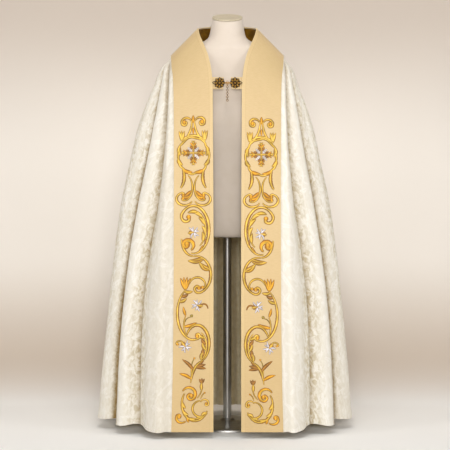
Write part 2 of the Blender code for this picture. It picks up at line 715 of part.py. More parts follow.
def make_chain(gilt):
    """Round links, by turns full face and edge on, each hanging in the one above."""
    x, y, z = hook_eye()
    first = z - EYE_RADIUS - LINK_RADIUS + 2 * WIRE + GAP
    for i in range(LINKS):
        plane = "XZ" if i % 2 == 0 else "YZ"
        points, faces = torus_points((0, 0, 0), plane)
        name = f"chain_link_{i + 1}"
        link = add_object(name, mesh_of(name, points, faces), gilt)
        link.location = (x, y, first - LINK_PITCH * i)


def main():
    for old in list(bpy.data.objects):
        bpy.data.objects.remove(old)
    damask = material("Ivory damask", (0.86, 0.82, 0.72), 0.55)
    lame = material("Pale gold lame", (0.80, 0.65, 0.36), 0.45, 0.15)
    gold = material("Old gold lining", (0.33, 0.23, 0.06), 0.50)
    shell = material("Cream shell", (0.87, 0.78, 0.64), 0.50)
    wood = material("Neck cap", (0.62, 0.55, 0.44), 0.60)
    steel = material("Brushed steel", (0.60, 0.60, 0.58), 0.35, 0.90)
    gilt = material("Antique gilt", (0.48, 0.33, 0.10), 0.35, 0.90)
    pale_gilt = material("Pale gilt", (0.80, 0.68, 0.42), 0.30, 0.90)
    make_cloth(damask, lame, gold)
    make_form(shell, wood, steel)
    for side, word in ((-1, "left"), (1, "right")):
        make_tab(side, f"clasp_tab_{word}", lame)
        make_rosette(side, f"clasp_rosette_{word}", gilt)
    make_hook(gilt)
    make_chain(pale_gilt)


main()
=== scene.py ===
"""Cope vestment on a dress form: the looks of every piece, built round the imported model.

Metres, +Z up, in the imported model's frame; the open front faces -Y. Cloth is a grid of points whose
rows run down it and whose columns run round it, from the left front (-X) behind the back to the
right front. Embroidery is drawn in millimetres on its band: across from the band's middle, positive
towards the opening, and down from the top of the design.
"""

import json
import math
from collections import namedtuple

import bpy
import numpy as np
from bpy.props import FloatProperty, FloatVectorProperty, PointerProperty
from mathutils import Matrix, Vector, noise

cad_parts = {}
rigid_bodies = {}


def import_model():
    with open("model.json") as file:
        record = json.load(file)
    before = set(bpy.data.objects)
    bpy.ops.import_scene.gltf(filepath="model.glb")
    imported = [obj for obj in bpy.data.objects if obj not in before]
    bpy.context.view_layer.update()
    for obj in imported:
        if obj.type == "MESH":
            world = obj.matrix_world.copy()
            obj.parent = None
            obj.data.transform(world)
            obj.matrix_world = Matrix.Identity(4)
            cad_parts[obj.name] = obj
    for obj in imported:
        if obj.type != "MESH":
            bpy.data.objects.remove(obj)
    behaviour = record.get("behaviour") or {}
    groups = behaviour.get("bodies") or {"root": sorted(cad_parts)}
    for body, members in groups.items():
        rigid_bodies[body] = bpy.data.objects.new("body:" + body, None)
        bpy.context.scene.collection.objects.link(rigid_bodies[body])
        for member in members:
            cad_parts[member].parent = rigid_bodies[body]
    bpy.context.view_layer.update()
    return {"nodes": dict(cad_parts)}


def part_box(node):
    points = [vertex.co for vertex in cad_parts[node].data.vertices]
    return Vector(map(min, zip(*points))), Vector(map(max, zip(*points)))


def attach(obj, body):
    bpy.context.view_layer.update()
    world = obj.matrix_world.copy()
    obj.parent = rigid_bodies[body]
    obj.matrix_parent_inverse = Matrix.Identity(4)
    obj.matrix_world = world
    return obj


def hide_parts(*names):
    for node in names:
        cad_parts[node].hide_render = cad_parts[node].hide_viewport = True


bl_info = {
    "name": "Cope vestment",
    "version": (1, 0, 0),
    "blender": (4, 5, 0),
    "location": "3D View > Sidebar > Cope",
    "description": "Builds a cope with embroidered bands on its dress form, and a plain stage",
    "category": "Mesh",
}

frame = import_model()
CLOTH_BODY = "cope_and_form"
SIDES = ((-1, "left"), (1, "right"))

# ---- The cope's driving sizes, as in the model ----
GAP = 0.0003
HEM_HEIGHT = 0.025
HEM_RISE = 0.018
SHOULDER_X = 0.2185
SHOULDER_Z = 1.438
NECK_SEAM_BACK = 0.170
NECK_SEAM_DIP = 0.018
COLLAR_X = 0.1132
COLLAR_Z = 1.541
COLLAR_BACK = 0.100
COLLAR_RISE = 0.011
FRONT_HEM_Y = -0.345
BELL_CENTRE = (-0.006, 0.02)
BELL_HALF_WIDTH = 0.495
BELL_FRONT = 0.380
BELL_BACK = 0.390
BELL_SQUARENESS = 2.6
PLEAT_GROWTH = 0.7
SIDE_STARTS = 70
SIDE_ENDS = 110
SEAM_WIDTH = 0.35
BACK_SEAMS = (10, 24)  # the body's joins, counted in marks from the left band

# How far a line of cloth has spread at each part of its fall.
Fall = namedtuple("Fall", "fallen side front back hanging")
FALLS = [
    Fall(0.000, 0.000, 0.000, 0.000, 0.000),
    Fall(0.004, 0.060, 0.045, 0.030, 0.015),
    Fall(0.012, 0.120, 0.100, 0.060, 0.040),
    Fall(0.030, 0.205, 0.175, 0.110, 0.080),
    Fall(0.080, 0.297, 0.330, 0.200, 0.100),
    Fall(0.140, 0.410, 0.430, 0.290, 0.110),
    Fall(0.200, 0.500, 0.500, 0.370, 0.150),
    Fall(0.300, 0.603, 0.590, 0.480, 0.290),
    Fall(0.400, 0.700, 0.665, 0.580, 0.460),
    Fall(0.550, 0.798, 0.780, 0.715, 0.710),
    Fall(0.700, 0.870, 0.860, 0.830, 0.890),
    Fall(0.850, 0.940, 0.930, 0.920, 0.970),
    Fall(1.000, 1.000, 1.000, 1.000, 1.000),
]

# The front band: its two edges from the middle, and how far its inner edge hangs forward and higher.
Band = namedtuple("Band", "fallen outer inner forward lift")
BANDS = [
    Band(0.000, 0.2185, 0.1132, 0.000, 0.1064),
    Band(0.004, 0.2180, 0.1125, 0.012, 0.1050),
    Band(0.012, 0.2168, 0.1090, 0.032, 0.1010),
    Band(0.030, 0.2142, 0.0935, 0.062, 0.0900),
    Band(0.055, 0.2090, 0.0720, 0.100, 0.0700),
    Band(0.085, 0.2065, 0.0600, 0.134, 0.0480),
    Band(0.120, 0.2048, 0.0565, 0.154, 0.0260),
    Band(0.170, 0.2035, 0.0560, 0.172, 0.0080),
    Band(0.300, 0.2025, 0.0545, 0.205, 0.0000),
    Band(0.550, 0.2020, 0.0530, 0.268, 0.0000),
    Band(0.800, 0.2045, 0.0530, 0.316, 0.0000),
    Band(1.000, 0.2105, 0.0535, 0.345, 0.0000),
]

# Every crest and valley of the cloth round the hem, by its bearing from the front.
Pleat = namedtuple("Pleat", "bearing out starts hanging root width")
PLEATS = [
    Pleat(35.5, 0.030, 0.02, 1.00, 0.030, 0.55),
    Pleat(51.0, -0.048, 0.02, 1.00, 0.060, 0.40),
    Pleat(60.0, -0.015, 0.02, 0.50, 0.090, 0.60),
    Pleat(68.0, -0.077, 0.02, 0.25, 0.122, 0.22),
    Pleat(82.0, 0.002, 0.02, 0.00, 0.152, 0.60),
    Pleat(97.0, -0.062, 0.05, 0.00, 0.194, 0.30),
    Pleat(105.5, 0.004, 0.05, 0.00, 0.232, 0.55),
    Pleat(114.5, -0.068, 0.06, 0.00, 0.268, 0.28),
    Pleat(122.0, -0.004, 0.06, 0.00, 0.302, 0.55),
    Pleat(130.0, -0.060, 0.07, 0.00, 0.334, 0.32),
    Pleat(137.0, 0.006, 0.07, 0.00, 0.363, 0.55),
    Pleat(144.5, -0.064, 0.07, 0.00, 0.392, 0.28),
    Pleat(151.0, -0.002, 0.07, 0.00, 0.417, 0.55),
    Pleat(157.5, -0.052, 0.08, 0.00, 0.440, 0.34),
    Pleat(164.0, 0.006, 0.08, 0.00, 0.462, 0.55),
    Pleat(171.5, -0.056, 0.08, 0.00, 0.482, 0.30),
    Pleat(180.5, 0.008, 0.08, 0.00, 0.502, 0.60),
    Pleat(189.0, -0.050, 0.08, 0.00, 0.521, 0.32),
    Pleat(196.5, 0.000, 0.08, 0.00, 0.541, 0.55),
    Pleat(203.5, -0.060, 0.07, 0.00, 0.562, 0.28),
    Pleat(210.0, 0.006, 0.07, 0.00, 0.586, 0.55),
    Pleat(217.0, -0.052, 0.07, 0.00, 0.611, 0.34),
    Pleat(223.5, -0.004, 0.07, 0.00, 0.637, 0.55),
    Pleat(230.5, -0.066, 0.07, 0.00, 0.666, 0.28),
    Pleat(238.5, 0.004, 0.06, 0.00, 0.698, 0.55),
    Pleat(246.5, -0.062, 0.06, 0.00, 0.733, 0.30),
    Pleat(255.0, 0.000, 0.05, 0.00, 0.769, 0.55),
    Pleat(264.0, -0.060, 0.05, 0.00, 0.807, 0.30),
    Pleat(278.5, -0.004, 0.02, 0.06, 0.848, 0.60),
    Pleat(292.5, -0.076, 0.02, 0.25, 0.878, 0.22),
    Pleat(300.5, -0.018, 0.02, 0.50, 0.910, 0.60),
    Pleat(309.5, -0.050, 0.02, 1.00, 0.940, 0.40),
    Pleat(325.0, 0.026, 0.02, 1.00, 0.970, 0.55),
]

# ---- The cloth's finer form ----
ROWS = 236
ROW_SPREAD = 1.3  # over 1 crowds the rows towards the shoulders
HEM_ROWS = (0.9945, 0.9965, 0.9985)  # further rows, for the rolled hem
HEM_ROLL = 0.0007
HEM_LOBE = 0.012  # how much lower the hem hangs under a fold than in the valley beside it
LOBES_BEGIN = 0.80  # the part of the fall
LOBES_OFF_BAND = 0.6  # marks from a band to the first full lobe
SHOULDER_TURN = 0.06
COLUMN_CROWDING = 0.5  # how far the columns crowd towards the crests and valleys
STEPS_AT_SIDES = 14  # columns from a crest to the next valley
STEPS_IN_CLEFTS = 34  # where a sharp cleft wanders between two marks
CLEFT_PARTS = (4, 29)
STEPS_BEHIND = 10
BAND_STEPS = 32
COLLAR_ROWS = 26
COLLAR_STEPS = 4
SEAM_GAP = 0.0001  # left between two pieces at a seam
BAND_WIDTH = 0.15
TURNING_FROM = 0.062  # from a band's middle to where the turning at its opening begins
FACING_REACH = (0.03, 0.66)  # parts of the collar's height, from its top
FACING_ROWS = 16
FACING_WALL = 0.0006
BODY_WAVES = (14.0, 38.0)  # the crumple's broad and narrow waves, to a metre
BAND_WAVES = (7.0, 22.0)
WAVE_SHARES = (0.7, 0.3)  # of the crumple's height
WAVE_STRETCH = 0.55  # under 1 makes the waves longer down the cloth

# The outermost fold on each side, in marks. It takes the ragged painted shade of the folds' flanks, and less
# of it low down.
OUTER_FOLDS = (5.05, 28.95)
OUTER_FOLD_WIDTH = 0.30
FLANK_SHADE_FADES = (0.50, 0.90)  # between these parts of the fall
FLANK_SHADE_LOST = 0.75  # of it, at the last of them

# A crease in the body cloth: its place in marks from the left band, the parts of the fall between
# which it runs, how many marks it drifts on its way, its depth (a ridge's is negative) and its width.
Crease = namedtuple("Crease", "place starts ends drift depth width")
CREASES = [
    Crease(0.45, 0.10, 0.62, 0.25, 0.0016, 0.012),
    Crease(1.30, 0.03, 0.22, 0.30, 0.0030, 0.009),
    Crease(1.72, 0.30, 0.47, -0.30, 0.0030, 0.008),
    Crease(1.55, 0.44, 0.55, 0.42, 0.0034, 0.008),
    Crease(1.78, 0.52, 0.66, -0.34, 0.0030, 0.009),
    Crease(1.60, 0.66, 0.98, 0.18, 0.0024, 0.014),
    Crease(2.35, 0.04, 0.30, 0.25, 0.0026, 0.009),
    Crease(2.40, 0.36, 0.52, -0.25, 0.0024, 0.009),
    Crease(2.55, 0.58, 0.92, 0.20, 0.0022, 0.012),
    Crease(3.40, 0.06, 0.34, 0.20, 0.0024, 0.010),
    Crease(3.62, 0.40, 0.60, -0.22, 0.0022, 0.010),
    Crease(4.45, 0.03, 0.26, 0.30, 0.0030, 0.011),
    Crease(4.70, 0.24, 0.48, -0.25, 0.0024, 0.010),
    Crease(4.30, 0.46, 0.70, 0.40, 0.0026, 0.012),
    Crease(4.75, 0.66, 0.95, -0.30, 0.0022, 0.013),
    Crease(5.50, 0.08, 0.40, 0.20, 0.0022, 0.010),
    Crease(6.40, 0.05, 0.36, 0.25, 0.0024, 0.010),
    Crease(6.65, 0.48, 0.86, -0.25, 0.0024, 0.012),
    Crease(7.55, 0.10, 0.44, 0.20, 0.0020, 0.010),
    Crease(8.35, 0.05, 0.50, 0.25, 0.0024, 0.010),
    Crease(9.60, 0.20, 0.62, 0.15, 0.0020, 0.010),
    Crease(10.45, 0.06, 0.40, 0.20, 0.0022, 0.010),
    Crease(11.55, 0.46, 0.90, -0.25, 0.0022, 0.012),
    Crease(12.40, 0.08, 0.36, 0.30, 0.0024, 0.010),
    Crease(13.55, 0.30, 0.74, -0.20, 0.0020, 0.011),
    Crease(14.50, 0.04, 0.30, 0.30, 0.0024, 0.010),
    Crease(15.60, 0.52, 0.94, -0.20, 0.0022, 0.012),
    Crease(16.35, 0.06, 0.44, 0.25, 0.0024, 0.010),
    Crease(17.60, 0.26, 0.60, -0.20, 0.0020, 0.010),
    Crease(18.45, 0.08, 0.40, 0.20, 0.0022, 0.010),
    Crease(19.60, 0.44, 0.88, -0.25, 0.0022, 0.012),
    Crease(20.50, 0.05, 0.34, 0.25, 0.0024, 0.010),
    Crease(21.50, 0.34, 0.80, 0.20, 0.0020, 0.011),
    Crease(22.40, 0.06, 0.38, 0.25, 0.0022, 0.010),
    Crease(23.60, 0.50, 0.92, -0.20, 0.0022, 0.012),
    Crease(24.45, 0.08, 0.46, 0.20, 0.0022, 0.010),
    Crease(25.55, 0.28, 0.66, -0.25, 0.0022, 0.010),
    Crease(26.45, 0.05, 0.32, 0.25, 0.0024, 0.010),
    Crease(27.55, 0.42, 0.84, -0.20, 0.0022, 0.012),
    Crease(28.35, 0.04, 0.40, 0.25, 0.0026, 0.010),
    Crease(29.35, 0.03, 0.26, 0.30, 0.0030, 0.010),
    Crease(29.70, 0.28, 0.52, -0.28, 0.0026, 0.010),
    Crease(29.30, 0.50, 0.76, 0.35, 0.0024, 0.012),
    Crease(29.75, 0.72, 0.96, -0.25, 0.0022, 0.013),
    Crease(30.40, 0.06, 0.34, 0.20, 0.0024, 0.010),
    Crease(30.60, 0.44, 0.78, -0.20, 0.0022, 0.011),
    Crease(31.50, 0.04, 0.28, 0.25, 0.0028, 0.009),
    Crease(31.60, 0.34, 0.50, -0.30, 0.0028, 0.009),
    Crease(31.40, 0.56, 0.88, 0.25, 0.0022, 0.012),
    Crease(32.30, 0.06, 0.30, -0.25, 0.0028, 0.009),
    Crease(32.45, 0.36, 0.50, 0.30, 0.0030, 0.008),
    Crease(32.30, 0.48, 0.60, -0.35, 0.0032, 0.008),
    Crease(32.50, 0.62, 0.95, 0.15, 0.0024, 0.013),
    Crease(33.50, 0.12, 0.66, -0.20, 0.0016, 0.012),
]

# A valley between two folds: its tone, the painted shade that darkens it, and how deep it is, and its
# route down the cloth, each point of it a part of the fall, a place in marks and a width.
Valley = namedtuple("Valley", "tone depth route")
VALLEYS = [
    # the sharp cleft behind the second fold, on each side, and painted shade along the edge of the fold
    # before it
    Valley(1.00, 0.010, ((0.0, 3.97, 0.009), (0.2, 3.90, 0.009), (0.3, 4.08, 0.010), (0.5, 4.20, 0.012),
                         (0.7, 4.39, 0.013), (1.0, 4.41, 0.012))),
    Valley(1.00, 0.010, ((0.0, 30.08, 0.009), (0.2, 30.10, 0.009), (0.3, 29.94, 0.010), (0.5, 29.80, 0.012),
                         (0.7, 29.72, 0.015), (1.0, 29.70, 0.015))),
    Valley(0.85, 0.0, ((0.0, 3.50, 0.007), (0.3, 3.42, 0.009), (1.0, 3.18, 0.012))),
    Valley(0.95, 0.0, ((0.0, 30.46, 0.008), (0.3, 30.56, 0.011), (0.5, 30.68, 0.013), (1.0, 30.80, 0.014))),
    # the broader valley beside the plain front fold, on each side, and painted shade on the folds beside it
    Valley(0.60, 0.010, ((0.0, 2.22, 0.009), (0.2, 2.18, 0.010), (0.4, 2.02, 0.009), (1.0, 2.00, 0.008))),
    Valley(0.56, 0.010, ((0.0, 31.82, 0.009), (0.2, 31.84, 0.010), (0.4, 32.00, 0.009), (1.0, 32.00, 0.008))),
    Valley(0.42, 0.0, ((0.0, 1.20, 0.009), (0.2, 1.20, 0.009), (0.4, 1.70, 0.007), (0.5, 2.00, 0.007))),
    Valley(0.36, 0.0, ((0.0, 32.78, 0.009), (0.2, 32.76, 0.009), (0.4, 32.30, 0.007), (0.5, 32.00, 0.007))),
    Valley(0.16, 0.0, ((0.0, 2.30, 0.014), (0.4, 2.24, 0.020), (1.0, 2.24, 0.026))),
    Valley(0.12, 0.0, ((0.0, 31.70, 0.014), (0.4, 31.76, 0.020), (1.0, 31.76, 0.026))),
    Valley(0.08, 0.0, ((0.0, 4.30, 0.012), (0.5, 4.40, 0.018), (1.0, 4.62, 0.020))),
    Valley(0.14, 0.0, ((0.0, 29.70, 0.012), (0.5, 29.60, 0.018), (1.0, 29.38, 0.024))),
    # the plain front folds, darkened a little as a whole by painted shade
    Valley(0.20, 0.0, ((0.0, 0.50, 0.04), (0.3, 0.60, 0.06), (1.0, 0.80, 0.08))),
    Valley(0.05, 0.0, ((0.0, 33.50, 0.04), (0.3, 33.40, 0.06), (1.0, 33.20, 0.08))),
    # painted shade along the seams to the bands
    Valley(0.30, 0.0, ((0.0, 0.0, 0.005), (1.0, 0.0, 0.006))),
    Valley(0.30, 0.0, ((0.0, 34.0, 0.005), (1.0, 34.0, 0.006))),
]
# and the plain valleys round the sides and the back, each with painted shade
VALLEYS += [Valley(0.50, 0.009, ((0.0, mark, 0.006), (1.0, mark, 0.011))) for mark in range(6, 30, 2)]

# ---- The embroidery ----
MM = 0.001
DESIGN_TOP = {-1: 0.1635, 1: 0.1680}  # the part of the fall where each band's design begins
DESIGN_STRETCH = 0.9905
FALL_LENGTH = SHOULDER_Z - HEM_HEIGHT
STITCH_STEP = 2.3  # mm along a stroke from one row of points to the next
STITCH_PROFILE = (-1.0, -0.86, -0.5, 0.0, 0.5, 0.86, 1.0)  # parts of a stroke's half width
STITCH_SUNK = 0.3  # mm that its flat back lies in the band
STROKE_FULLNESS = 1.42  # how much broader the strokes are sewn than the pattern's line
LEAF_FULLNESS = 1.25
SERRATION = 0.20  # of a broad stroke's width, as on an acanthus leaf's edge
SERRATION_LENGTH = 13.0  # mm from one tooth to the next
BROAD = 6.0  # a stroke at least this wide is serrated and lined
LINING_SHARE = 0.36  # of a broad stroke's width that its inner line takes up
OUTLINE = 0.85  # mm of dark thread that shows beyond each edge
OUTLINE_PROFILE = (-1.0, -0.6, 0.6, 1.0)
OUTLINE_CROWN = 0.10  # mm
STITCH_EDGE = 0.12  # mm that a stroke's edges stand
STITCH_RISE = 0.30  # mm that its middle rises over them for each mm of half width, after a first STITCH_EDGE
LIT_PART = 0.6  # of its half width, from the middle, over which its lit colour passes into its own
LINING_ASIDE = 0.55  # from a broad stroke's middle to its inner line, as a part of its half width
LINING_LIFT = 0.55  # mm over the stroke
CURL_TIGHTENS = 0.30  # the last radius of a curl, as a part of its first
CURL_STEPS = 26  # to a turn
CURL_BEAD = 1.1  # radius of the dot at its end, as a part of its stroke's width
CURL_BEAD_LIFT = 0.9
OVAL_POINTS = 40  # along a sweep, before it is evened out

# The pattern is drawn as with compasses. A sweep is part of an oval, carried on into a curl that turns
# the same way. Its bearings are in degrees (0 is up, 90 towards the opening); it turns clockwise where
# it ends after it starts. radius is the curl's first, and turns says how far round the curl goes.
Sweep = namedtuple("Sweep", "thread width across down half_width half_height starts ends radius turns")

# The upper part, sewn on both hands of the band's middle line.
PAIRED_SWEEPS = {
    "finial": Sweep("gold", 6.5, 25, 25, 18, 16, -80, 100, 12, 0.9),
    "finial stem": Sweep("bright", 5.5, 58, 20, 53, 78, 270, 195, 0, 0),
    "pendant leaf": Sweep("gold", 8.0, 80, 230, 45, 60, 300, 225, 0, 0),
    "pendant stem": Sweep("gold", 5.0, 34, 270, 30, 50, -25, -190, 7, 0.5),
    "pendant curl": Sweep("bright", 6.0, 34, 314, 30, 24, 250, 20, 9, 0.5),
}
SWEEPS = {
    "wreath cap": Sweep("bright", 6.0, 0, 105, 45, 30, -75, 75, 0, 0),
    "first scroll": Sweep("bright", 7.5, 0, 430, 58, 90, 190, -48, 26, 0.7),
    "first scroll, inside": Sweep("gold", 5.5, 0, 430, 46, 70, 150, -25, 0, 0),
    "first curl": Sweep("orange", 10.0, -20, 490, 20, 20, 150, -60, 14, 0.8),
    "first link": Sweep("gold", 6.0, 0, 465, 45, 65, 270, 180, 0, 0),
    "second scroll": Sweep("gold", 7.0, 10, 600, 55, 70, -10, 165, 19, 0.8),
    "second scroll, inside": Sweep("gold", 5.5, 15, 640, 30, 30, -80, 90, 13, 0.35),
    "long stem": Sweep("bright", 6.5, 0, 745, 60, 100, -30, -200, 11, 0.85),
    "lily stem": Sweep("brown", 3.6, 40, 730, 15, 20, -60, 85, 0, 0),
    "sprig stem": Sweep("gold", 4.0, 10, 790, 45, 70, -60, -130, 0, 0),
    "sprig branch": Sweep("leaf", 1.8, -10, 780, 20, 20, -85, 0, 0, 0),
    "third scroll": Sweep("gold", 7.5, 15, 860, 45, 70, -65, 160, 0, 0),
    "third scroll, inside": Sweep("bright", 4.5, 10, 870, 40, 60, 30, 150, 0, 0),
    "third stem": Sweep("gold", 7.0, 55, 1000, 60, 80, -22, -85, 0, 0),
    "lily curl": Sweep("gold", 4.0, -50, 865, 15, 15, 70, -60, 6, 0.5),
    "bead branch": Sweep("leaf", 1.8, 20, 945, 25, 35, -90, -35, 0, 0),
    "foot stem": Sweep("gold", 3.6, -55, 975, 50, 90, 70, 112, 0, 0),
    "foot scroll": Sweep("orange", 7.5, -15, 1050, 25, 25, -65, 130, 17, 0.85),
    "bud stem": Sweep("gold", 2.6, -20, 1020, 55, 60, 85, 140, 0, 0),
    "bead stem": Sweep("gold", 2.2, 60, 1075, 30, 35, -25, -80, 0, 0),
    "cradle": Sweep("gold", 6.5, 10, 1085, 50, 65, -55, -245, 0, 0),
    "cradle, inside": Sweep("gold", 5.5, 30, 1105, 30, 30, 0, -240, 0, 0),
    "cradle curl": Sweep("bright", 4.5, 45, 1085, 15, 15, -75, 95, 9, 0.75),
    "corner curl": Sweep("orange", 6.0, -40, 1140, 20, 18, 130, 300, 9, 0.75),
}

# Leaves that spring from a sweep at even steps: lean is how far each turns from the sweep's way
# towards its inside, in degrees.
Sprung = namedtuple("Sprung", "sweep threads width starts ends count lean reach")
PAIRED_SPRUNG = [
    Sprung("wreath side", ("gold", "gold", "orange"), 12, 60, 140, 3, 30, 36),
    Sprung("pendant stem", ("orange",), 18, -105, -105, 1, 45, 50),
]
SPRUNG = [
    Sprung("first scroll, inside", ("gold", "bright"), 11, 130, 20, 5, 32, 38),
    Sprung("first scroll", ("orange", "brown"), 7, 160, 130, 2, 30, 30),
    Sprung("second scroll", ("gold",), 16, 30, 75, 2, 135, 60),
    Sprung("long stem", ("gold", "brown"), 10, -35, -65, 3, 130, 32),
    Sprung("sprig stem", ("orange",), 10, -95, -95, 1, 105, 50),
    Sprung("third scroll, inside", ("gold", "brown"), 10, 60, 150, 5, 145, 34),
    Sprung("third stem", ("brown", "orange"), 10, -60, -85, 2, -110, 60),
    Sprung("cradle", ("gold", "bright"), 11, -85, -150, 3, 35, 28),
    Sprung("cradle", ("orange",), 7, -145, -145, 1, -30, 20),
    Sprung("cradle", ("gold", "bright"), 9, -215, -238, 2, 150, 28),
]

# A fan of leaves from one bearing on a sweep: the way it opens (0 is up, 90 towards the opening) and
# how wide, in degrees.
Fan = namedtuple("Fan", "thread width sweep bearing opens spread count reach")
PAIRED_FANS = [
    Fan("bright", 8, "finial stem", 195, 0, 30, 3, 40),
]
FANS = [
    Fan("orange", 9, "long stem", -30, 0, 45, 4, 50),
    Fan("orange", 8, "sprig stem", -60, -15, 0, 1, 35),
    Fan("leaf", 8, "sprig branch", 0, 45, 0, 1, 12),
    Fan("brown", 10, "third stem", -50, 75, 45, 3, 40),
    Fan("brown", 6, "bud stem", 80, 0, 60, 3, 20),
    Fan("gold", 9, "bud stem", 105, 0, 0, 1, 30),
]

# A pointed leaf or petal from its root to its tip: how far its middle is bowed to its left, and its width.
Leaf = namedtuple("Leaf", "thread width bow root tip")
MIDDLE_LEAVES = [
    Leaf("orange", 9, 0, (0, 25), (0, 0)),
    Leaf("orange", 6, 0, (0, 45), (0, 70)),
]
EVERY_SECOND = 0.15  # how much shorter every second sprung leaf is
VEINED = 14  # a sprung leaf at least this wide has a vein sewn along it
VEIN_WIDTH = 0.25  # of its leaf
VEIN_REACH = 0.85  # of its leaf
VEIN_LIFT = 0.8
RIBBED = 8  # any leaf at least this wide has a rib
RIB_WIDTH = 0.10  # of its leaf
RIB_CROWN = 0.25
RIB_LIFT = 0.9

# A white flower: its middle, the way it opens (0 is up, 90 towards the opening), its petals and reach.
Flower = namedtuple("Flower", "across down opens petals spread reach")
FLOWERS = [
    Flower(0, 440, 80, 7, 250, 25),
    Flower(15, 715, -80, 7, 240, 25),
    Flower(-30, 870, 140, 7, 240, 25),
]
CALYX = (("gold", 9, 0, 22), ("brown", 5, -25, 18), ("brown", 5, 25, 18))  # thread, width, turn, reach
FLOWER_PETAL = 2.7  # half a petal's width
SHORT_PETAL = 0.86  # every second petal's reach, as a part of its neighbours'
PETAL_BOW = 2.0
FLOWER_HEART = 3.4
BEADS = ((5, 915, 4), (45, 1045, 4), (0, 25, 3.5), (0, 60, 3))  # across, down, radius

WREATH_MIDDLE = (0, 150)
WREATH_HALF_WIDTH = 60
WREATH_HALF_HEIGHT = 70
WREATH_LEAVES = 14
WREATH_LEAF = 4.3  # half a leaf's width
WREATH_LEAF_SPAN = (-0.10, 0.62)  # radians round the oval from its root
WREATH_LEAF_POINTS = 26
WREATH_UNDER = 0.955  # the oval of every second leaf, as a part of the wreath's
# One hand of the wreath's oval, for the leaves that spring from it.
WREATH_SIDE = Sweep("gold", 0, *WREATH_MIDDLE, WREATH_HALF_WIDTH, WREATH_HALF_HEIGHT, 0, 180, 0, 0)
ALL_SWEEPS = {**PAIRED_SWEEPS, **SWEEPS, "wreath side": WREATH_SIDE}
CROSS_MIDDLE = (0, 140)
CROSS_ARM = 45
CROSS_HALF = 2.3  # half an arm's width at its root
CROSS_HEART = 4.6

# A leaf on each hand of each arm of the cross: its root and tip are given out along the arm and aside.
ArmLeaf = namedtuple("ArmLeaf", "thread width bow root tip lift")
ARM_LEAVES = [
    ArmLeaf("orange", 6.0, 2, (22, 1), (39, 12), 0.2),
    ArmLeaf("brown", 5.5, -2, (16, 0), (28, 12), 0.3),
    ArmLeaf("gold", 4.5, 1, (34, 0), (46, 6), 0.2),
]
CROSS_RAYS = (("white", 7.5, 8, 31, 0.1), ("leaf", 2.0, 12, 28, 1.1))  # thread, width, root, tip, lift

# ---- The clasp and the chain ----
# Turned pieces are drawn up from the underside: each step is a radius and a height.
PETALS = 8
PETAL_START = 0.0056  # from the rosette's middle to each petal's root
PETAL_WIDTH = 0.0104
PETAL_TILT = -6  # degrees, which raises its tip
ROSETTE_REACH = 0.0222
LONG_REACH = 0.0266
LONG_WIRE = 1.35  # the long petal's wire, as a part of the others'
ROSETTE_SHIFT = 0.0025  # from the middle of the rosette's box to the middle of its petals
PLATE_DEPTH = 0.0016
PLATE_STEPS = ((0.0170, 0), (0.0192, 0.0003), (0.0192, PLATE_DEPTH - 0.0004), (0.0180, PLATE_DEPTH))
KNOB_STEPS = (
    (0.0034, PLATE_DEPTH),
    (0.0038, PLATE_DEPTH + 0.0010),
    (0.0032, PLATE_DEPTH + 0.0022),
    (0.0019, PLATE_DEPTH + 0.0030),
    (0.0005, PLATE_DEPTH + 0.0033),
)
DOME_SHIFT = 0.0006  # of the domed leaf, outwards from the middle of its petal
DOME_MARGINS = (0.0022, 0.0019)  # left inside the petal at its ends and at its sides
DOME_TIERS = ((0.0, 0.0006), (0.0007, 0.0005), (0.0009, 0.0003))  # how far in and how far up each goes
DOT_REACH = 0.0200
DOT_RADIUS = 0.0011
DOT_HEIGHT = 0.7  # of its radius
TAB_EDGE = 0.0008
HOOK_BAR = (0.0235, 0.0022, 0.0052)
HOOK_EDGE = 0.0008
BINDINGS = (-0.0036, -0.0012, 0.0012, 0.0036)  # along the bar, from its middle
BINDING_RADIUS = 0.0026
BINDING_WIRE = 0.0007
EYE_RADIUS = 0.0050
LOOP_HALF = (0.0052, 0.0074)  # the oval loop round the bar, which carries the eye
LOOP_WIRE = 1.15  # as a part of the links' wire
LINK_RADIUS = 0.00415
JOINT_REACH = 1.15  # how far a ring's soldered joint swells, as a part of the wire's radius
JOINT_GROWTH = 1.14

# ---- The dress form ----
FORM_CORNERS = 50  # degrees: sharper edges of the torso stay crisp
FORM_CRISPNESS = 0.85
CAP_RADIUS = 0.0583
CAP_DEPTH = 0.008
CAP_EDGE = 0.0018
CAP_STEPS = (
    (CAP_RADIUS - CAP_EDGE, 0),
    (CAP_RADIUS, CAP_EDGE * 0.8),
    (CAP_RADIUS, CAP_DEPTH - CAP_EDGE),
    (CAP_RADIUS - CAP_EDGE * 0.3, CAP_DEPTH - CAP_EDGE * 0.3),
    (CAP_RADIUS - CAP_EDGE, CAP_DEPTH),
    (CAP_RADIUS - 0.005, CAP_DEPTH - 0.0004),
)
POLE_RADIUS = 0.0160
POLE_END = 0.0152  # radius inside its rounded edges
POLE_EDGE = 0.0008
FOOT_STEPS = (
    (0.1980, 0.0),
    (0.2000, 0.0012),
    (0.2000, 0.0052),
    (0.1975, 0.0088),
    (0.1940, 0.0100),
    (0.1000, 0.0155),
    (0.0340, 0.0195),
    (0.0290, 0.0215),
    (0.0258, 0.0245),
    (0.0235, 0.0274),
    (0.0220, 0.0280),
)

